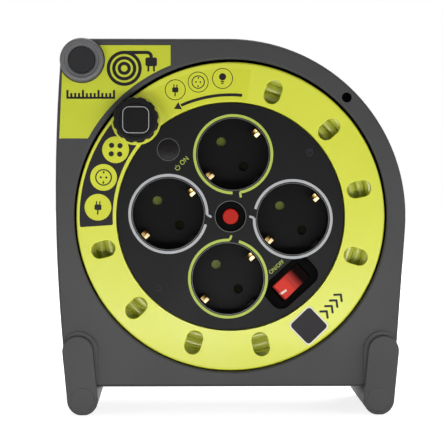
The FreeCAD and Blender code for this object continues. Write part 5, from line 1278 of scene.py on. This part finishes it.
class REEL_OT_socket_details(bpy.types.Operator):
    """Adds the split brass springs in the sockets and thin grey rings round the panel's recesses,
    painted highlights for the light on their edges
    """

    bl_idname = "reel.socket_details"
    bl_label = "Springs and rims"

    def execute(self, context):
        self.springs()
        self.rims()
        return {"FINISHED"}

    def springs(self):
        """Two split springs in each socket, one of their tongues bent deeper than the other; the
        shallow tongue is paler brass, a painted highlight.
        """
        aside, shallow, deep = 1.1 * MM, 0.8 * MM, 2.6 * MM
        tongues, backs = [], []
        for socket, angle in SOCKETS:
            middle = on_face(SOCKET_CIRCLE, angle, 0.0)
            for way, side in ((PIN_LINE + 90.0, 1), (PIN_LINE - 90.0, -1)):
                tongues.append(self.tongue(middle, way, side * aside, shallow))
                backs.append(self.tongue(middle, way, -side * aside, deep))
        settle(join("spring_tongues", tongues), "drum", "spring")
        settle(join("spring_backs", backs), "drum", "brass")

    def tongue(self, middle, way, aside, dip):
        """One tongue of a spring: it leads a plug in from the recess's wall to its nose."""
        radius, depth = 17.9 * MM, 6.2 * MM
        long, wide, thick, soften = 3.3 * MM, 1.9 * MM, 0.45 * MM, 0.08 * MM
        outward = on_face(1.0, way, 0.0)
        centre = middle + on_face(radius, way, 0.0) + on_face(aside, way - 90.0, 0.0)
        sheet = rounded_sheet("tongue", wide, long, centre, way - 90.0)
        edit()
        bpy.ops.mesh.subdivide(number_cuts=5)
        done()
        for vertex in sheet.data.vertices:
            inward = 0.5 - (vertex.co - centre).dot(outward) / long
            vertex.co.y = PANEL_FACE + depth + dip * inward ** 2
        return thicken(sheet, thick, soften)

    def rims(self):
        """Thin grey lines round the sockets, the reset button's dish and the lamp: painted
        highlights for the light on the recesses' edges.
        """
        socket, dish, lamp = 20.6 * MM, 8.9 * MM, 6.3 * MM
        line, lamp_line = 0.3 * MM, 0.25 * MM
        rims = [ring(on_face(SOCKET_CIRCLE, angle, PANEL_FACE), socket, line)
                for side, angle in SOCKETS]
        rims.append(ring(on_face(0.0, 0.0, PANEL_FACE), dish, line))
        rims.append(ring(on_face(*LAMP_AT, PANEL_FACE), lamp, lamp_line))
        printed("recess_rims", rims, "drum", "rim_highlight", prints().ink)


class REEL_OT_knob_outline(bpy.types.Operator):
    """Adds the thin silver outline on the knob's cap"""

    bl_idname = "reel.knob_outline"
    bl_label = "Outline on the knob"

    def execute(self, context):
        side, corner, line, turn = 15.0 * MM, 3.8 * MM, 0.35 * MM, 2.0
        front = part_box("knob_cap")[0].y - AXLE.y
        outline = rounded_sheet("knob_outline", side, side, on_face(*KNOB_AT, front), turn, corner)
        edit()
        bpy.ops.mesh.inset(thickness=line)
        bpy.ops.mesh.delete(type="FACE")
        done()
        thicken(outline, prints().ink)
        settle(outline, "knob", "silver_print")
        return {"FINISHED"}


# Studio

FLOOR_RADIUS = 4.0
WHITE = (1.0, 1.0, 1.0, 1.0)
FLOOR_GREY = (0.8, 0.8, 0.8, 1.0)
PALE_ROOM = (0.93, 0.96, 1.0, 1.0)

# Lamps: place and size in metres
LAMPS = {
    "key": ((-1.2, -0.85, 0.4), (0.6, 0.6)),
    "fill": ((1.25, -0.85, 0.3), (0.6, 0.5)),
    "low": ((0.0, -0.41, 0.018), (0.7, 0.03)),
    "rear": ((0.7, 1.2, 0.5), (0.8, 0.8)),
    "top": ((0.0, 0.22, 1.3), (0.9, 0.4)),
}


def look_from(scene, studio):
    """Camera at the photograph's place: a little left of and above the drum's axis."""
    face = AXLE.y + CASE_FACE
    left, above = 29.0 * MM, 35.0 * MM
    aim_left, aim_below = 5.0 * MM, 3.0 * MM
    start_piece()
    bpy.ops.object.camera_add(location=(-left, face - studio.distance, AXLE.z + above))
    camera = bpy.context.object
    camera.name = "camera"
    target = Vector((-aim_left, face, AXLE.z - aim_below))
    camera.rotation_euler = (target - camera.location).to_track_quat("-Z", "Y").to_euler()
    camera.data.lens = studio.lens
    camera.data.sensor_width = 36.0
    camera.data.clip_start = 0.05
    scene.camera = camera


def add_lamp(name, place, target, size, power):
    """A soft flat lamp that the camera doesn't see."""
    start_piece()
    bpy.ops.object.light_add(type="AREA", location=place)
    lamp = bpy.context.object
    lamp.name = name
    lamp.data.shape = "RECTANGLE"
    lamp.data.size, lamp.data.size_y = size
    lamp.data.energy = power
    lamp.visible_camera = False
    lamp.rotation_euler = (Vector(target) - lamp.location).to_track_quat("-Z", "Y").to_euler()


def mirrored(tree, rays):
    """How white the background is to a gloss and to a glass."""
    in_gloss = 0.7
    return maths(tree, "MULTIPLY_ADD", rays["Is Glossy Ray"], in_gloss,
                 rays["Is Transmission Ray"])


def floor_finish():
    """White floor that keeps the reel's shadow and is plain white farther away."""
    material, tree, shader = new_material("Floor")
    shader.inputs["Base Color"].default_value = FLOOR_GREY
    shader.inputs["Roughness"].default_value = 0.9
    shader.inputs["Specular IOR Level"].default_value = 0.1
    near, far, near_glow = 0.12, 0.32, 0.82
    rays = tree.nodes.new("ShaderNodeLightPath").outputs
    away = add_node(tree, "ShaderNodeVectorMath", {
        0: own_place(tree)}, operation="LENGTH").outputs["Value"]
    seen = maths(tree, "MULTIPLY", rays["Is Camera Ray"],
                 rescale(tree, away, near, far, near_glow))
    seen = maths(tree, "ADD", seen, mirrored(tree, rays))
    glow = add_node(tree, "ShaderNodeEmission", {"Color": WHITE, "Strength": seen})
    both = add_node(tree, "ShaderNodeAddShader", {
        0: shader.outputs["BSDF"], 1: glow.outputs["Emission"]})
    tree.links.new(both.outputs["Shader"], tree.nodes["Material Output"].inputs["Surface"])
    return material


def studio_world(scene, strength):
    """White to the camera and in reflections; as a light on the reel an even pale room."""
    world = bpy.data.worlds.new("Studio")
    world.use_nodes = True
    scene.world = world
    tree = world.node_tree
    room = tree.nodes["Background"]
    room.inputs["Color"].default_value = PALE_ROOM
    room.inputs["Strength"].default_value = strength
    white = add_node(tree, "ShaderNodeBackground", {"Color": WHITE, "Strength": 1.0})
    rays = tree.nodes.new("ShaderNodeLightPath").outputs
    seen = maths(tree, "ADD", rays["Is Camera Ray"], mirrored(tree, rays))
    mix = add_node(tree, "ShaderNodeMixShader", {
        0: seen, 1: room.outputs["Background"], 2: white.outputs["Background"]})
    tree.links.new(mix.outputs["Shader"], tree.nodes["World Output"].inputs["Surface"])


class REEL_OT_studio(bpy.types.Operator):
    """Sets up the floor, the lamps, the room light and the camera"""

    bl_idname = "reel.studio"
    bl_label = "Set up the studio"

    def execute(self, context):
        scene = context.scene
        studio = scene.reel_studio
        scene.view_settings.view_transform = "Standard"
        start_piece()
        bpy.ops.mesh.primitive_circle_add(
            vertices=64, radius=FLOOR_RADIUS, fill_type="NGON", location=(0.0, 0.0, 0.0))
        floor = context.object
        floor.name = "floor"
        floor.data.materials.append(floor_finish())
        aim = (0.0, AXLE.y, AXLE.z)
        for name, (place, size) in LAMPS.items():
            add_lamp(name + "_lamp", place, aim, size, getattr(studio, name))
        studio_world(scene, studio.around)
        look_from(scene, studio)
        return {"FINISHED"}


# Panel and start

STEPS = (
    REEL_OT_studio, REEL_OT_finishes, REEL_OT_cable, REEL_OT_leads, REEL_OT_ring_films,
    REEL_OT_case_signs, REEL_OT_emblem, REEL_OT_socket_rings, REEL_OT_panel_signs,
    REEL_OT_socket_details, REEL_OT_knob_outline,
)


class REEL_PT_panel(bpy.types.Panel):
    """The reel's steps and settings in the sidebar"""

    bl_idname = "REEL_PT_panel"
    bl_label = "Cord Reel"
    bl_space_type = "VIEW_3D"
    bl_region_type = "UI"
    bl_category = "Cord Reel"

    def draw(self, context):
        for step in STEPS:
            self.layout.operator(step.bl_idname)
        for settings in (context.scene.reel_colours, context.scene.reel_prints,
                         context.scene.reel_studio):
            box = self.layout.box()
            for name in settings.__annotations__:
                box.prop(settings, name)


CLASSES = (ReelColours, ReelPrints, ReelStudio) + STEPS + (REEL_PT_panel,)


def register():
    """Makes the steps, the panel and the settings known."""
    for cls in CLASSES:
        bpy.utils.register_class(cls)
    bpy.types.Scene.reel_colours = bpy.props.PointerProperty(type=ReelColours)
    bpy.types.Scene.reel_prints = bpy.props.PointerProperty(type=ReelPrints)
    bpy.types.Scene.reel_studio = bpy.props.PointerProperty(type=ReelStudio)


def unregister():
    """Takes the settings, the panel and the steps back."""
    del bpy.types.Scene.reel_colours, bpy.types.Scene.reel_prints, bpy.types.Scene.reel_studio
    for cls in reversed(CLASSES):
        bpy.utils.unregister_class(cls)


def main():
    """Makes the steps known and runs them in order."""
    register()
    for step in STEPS:
        group, name = step.bl_idname.split(".")
        getattr(getattr(bpy.ops, group), name)()


if __name__ == "__main__":
    main()
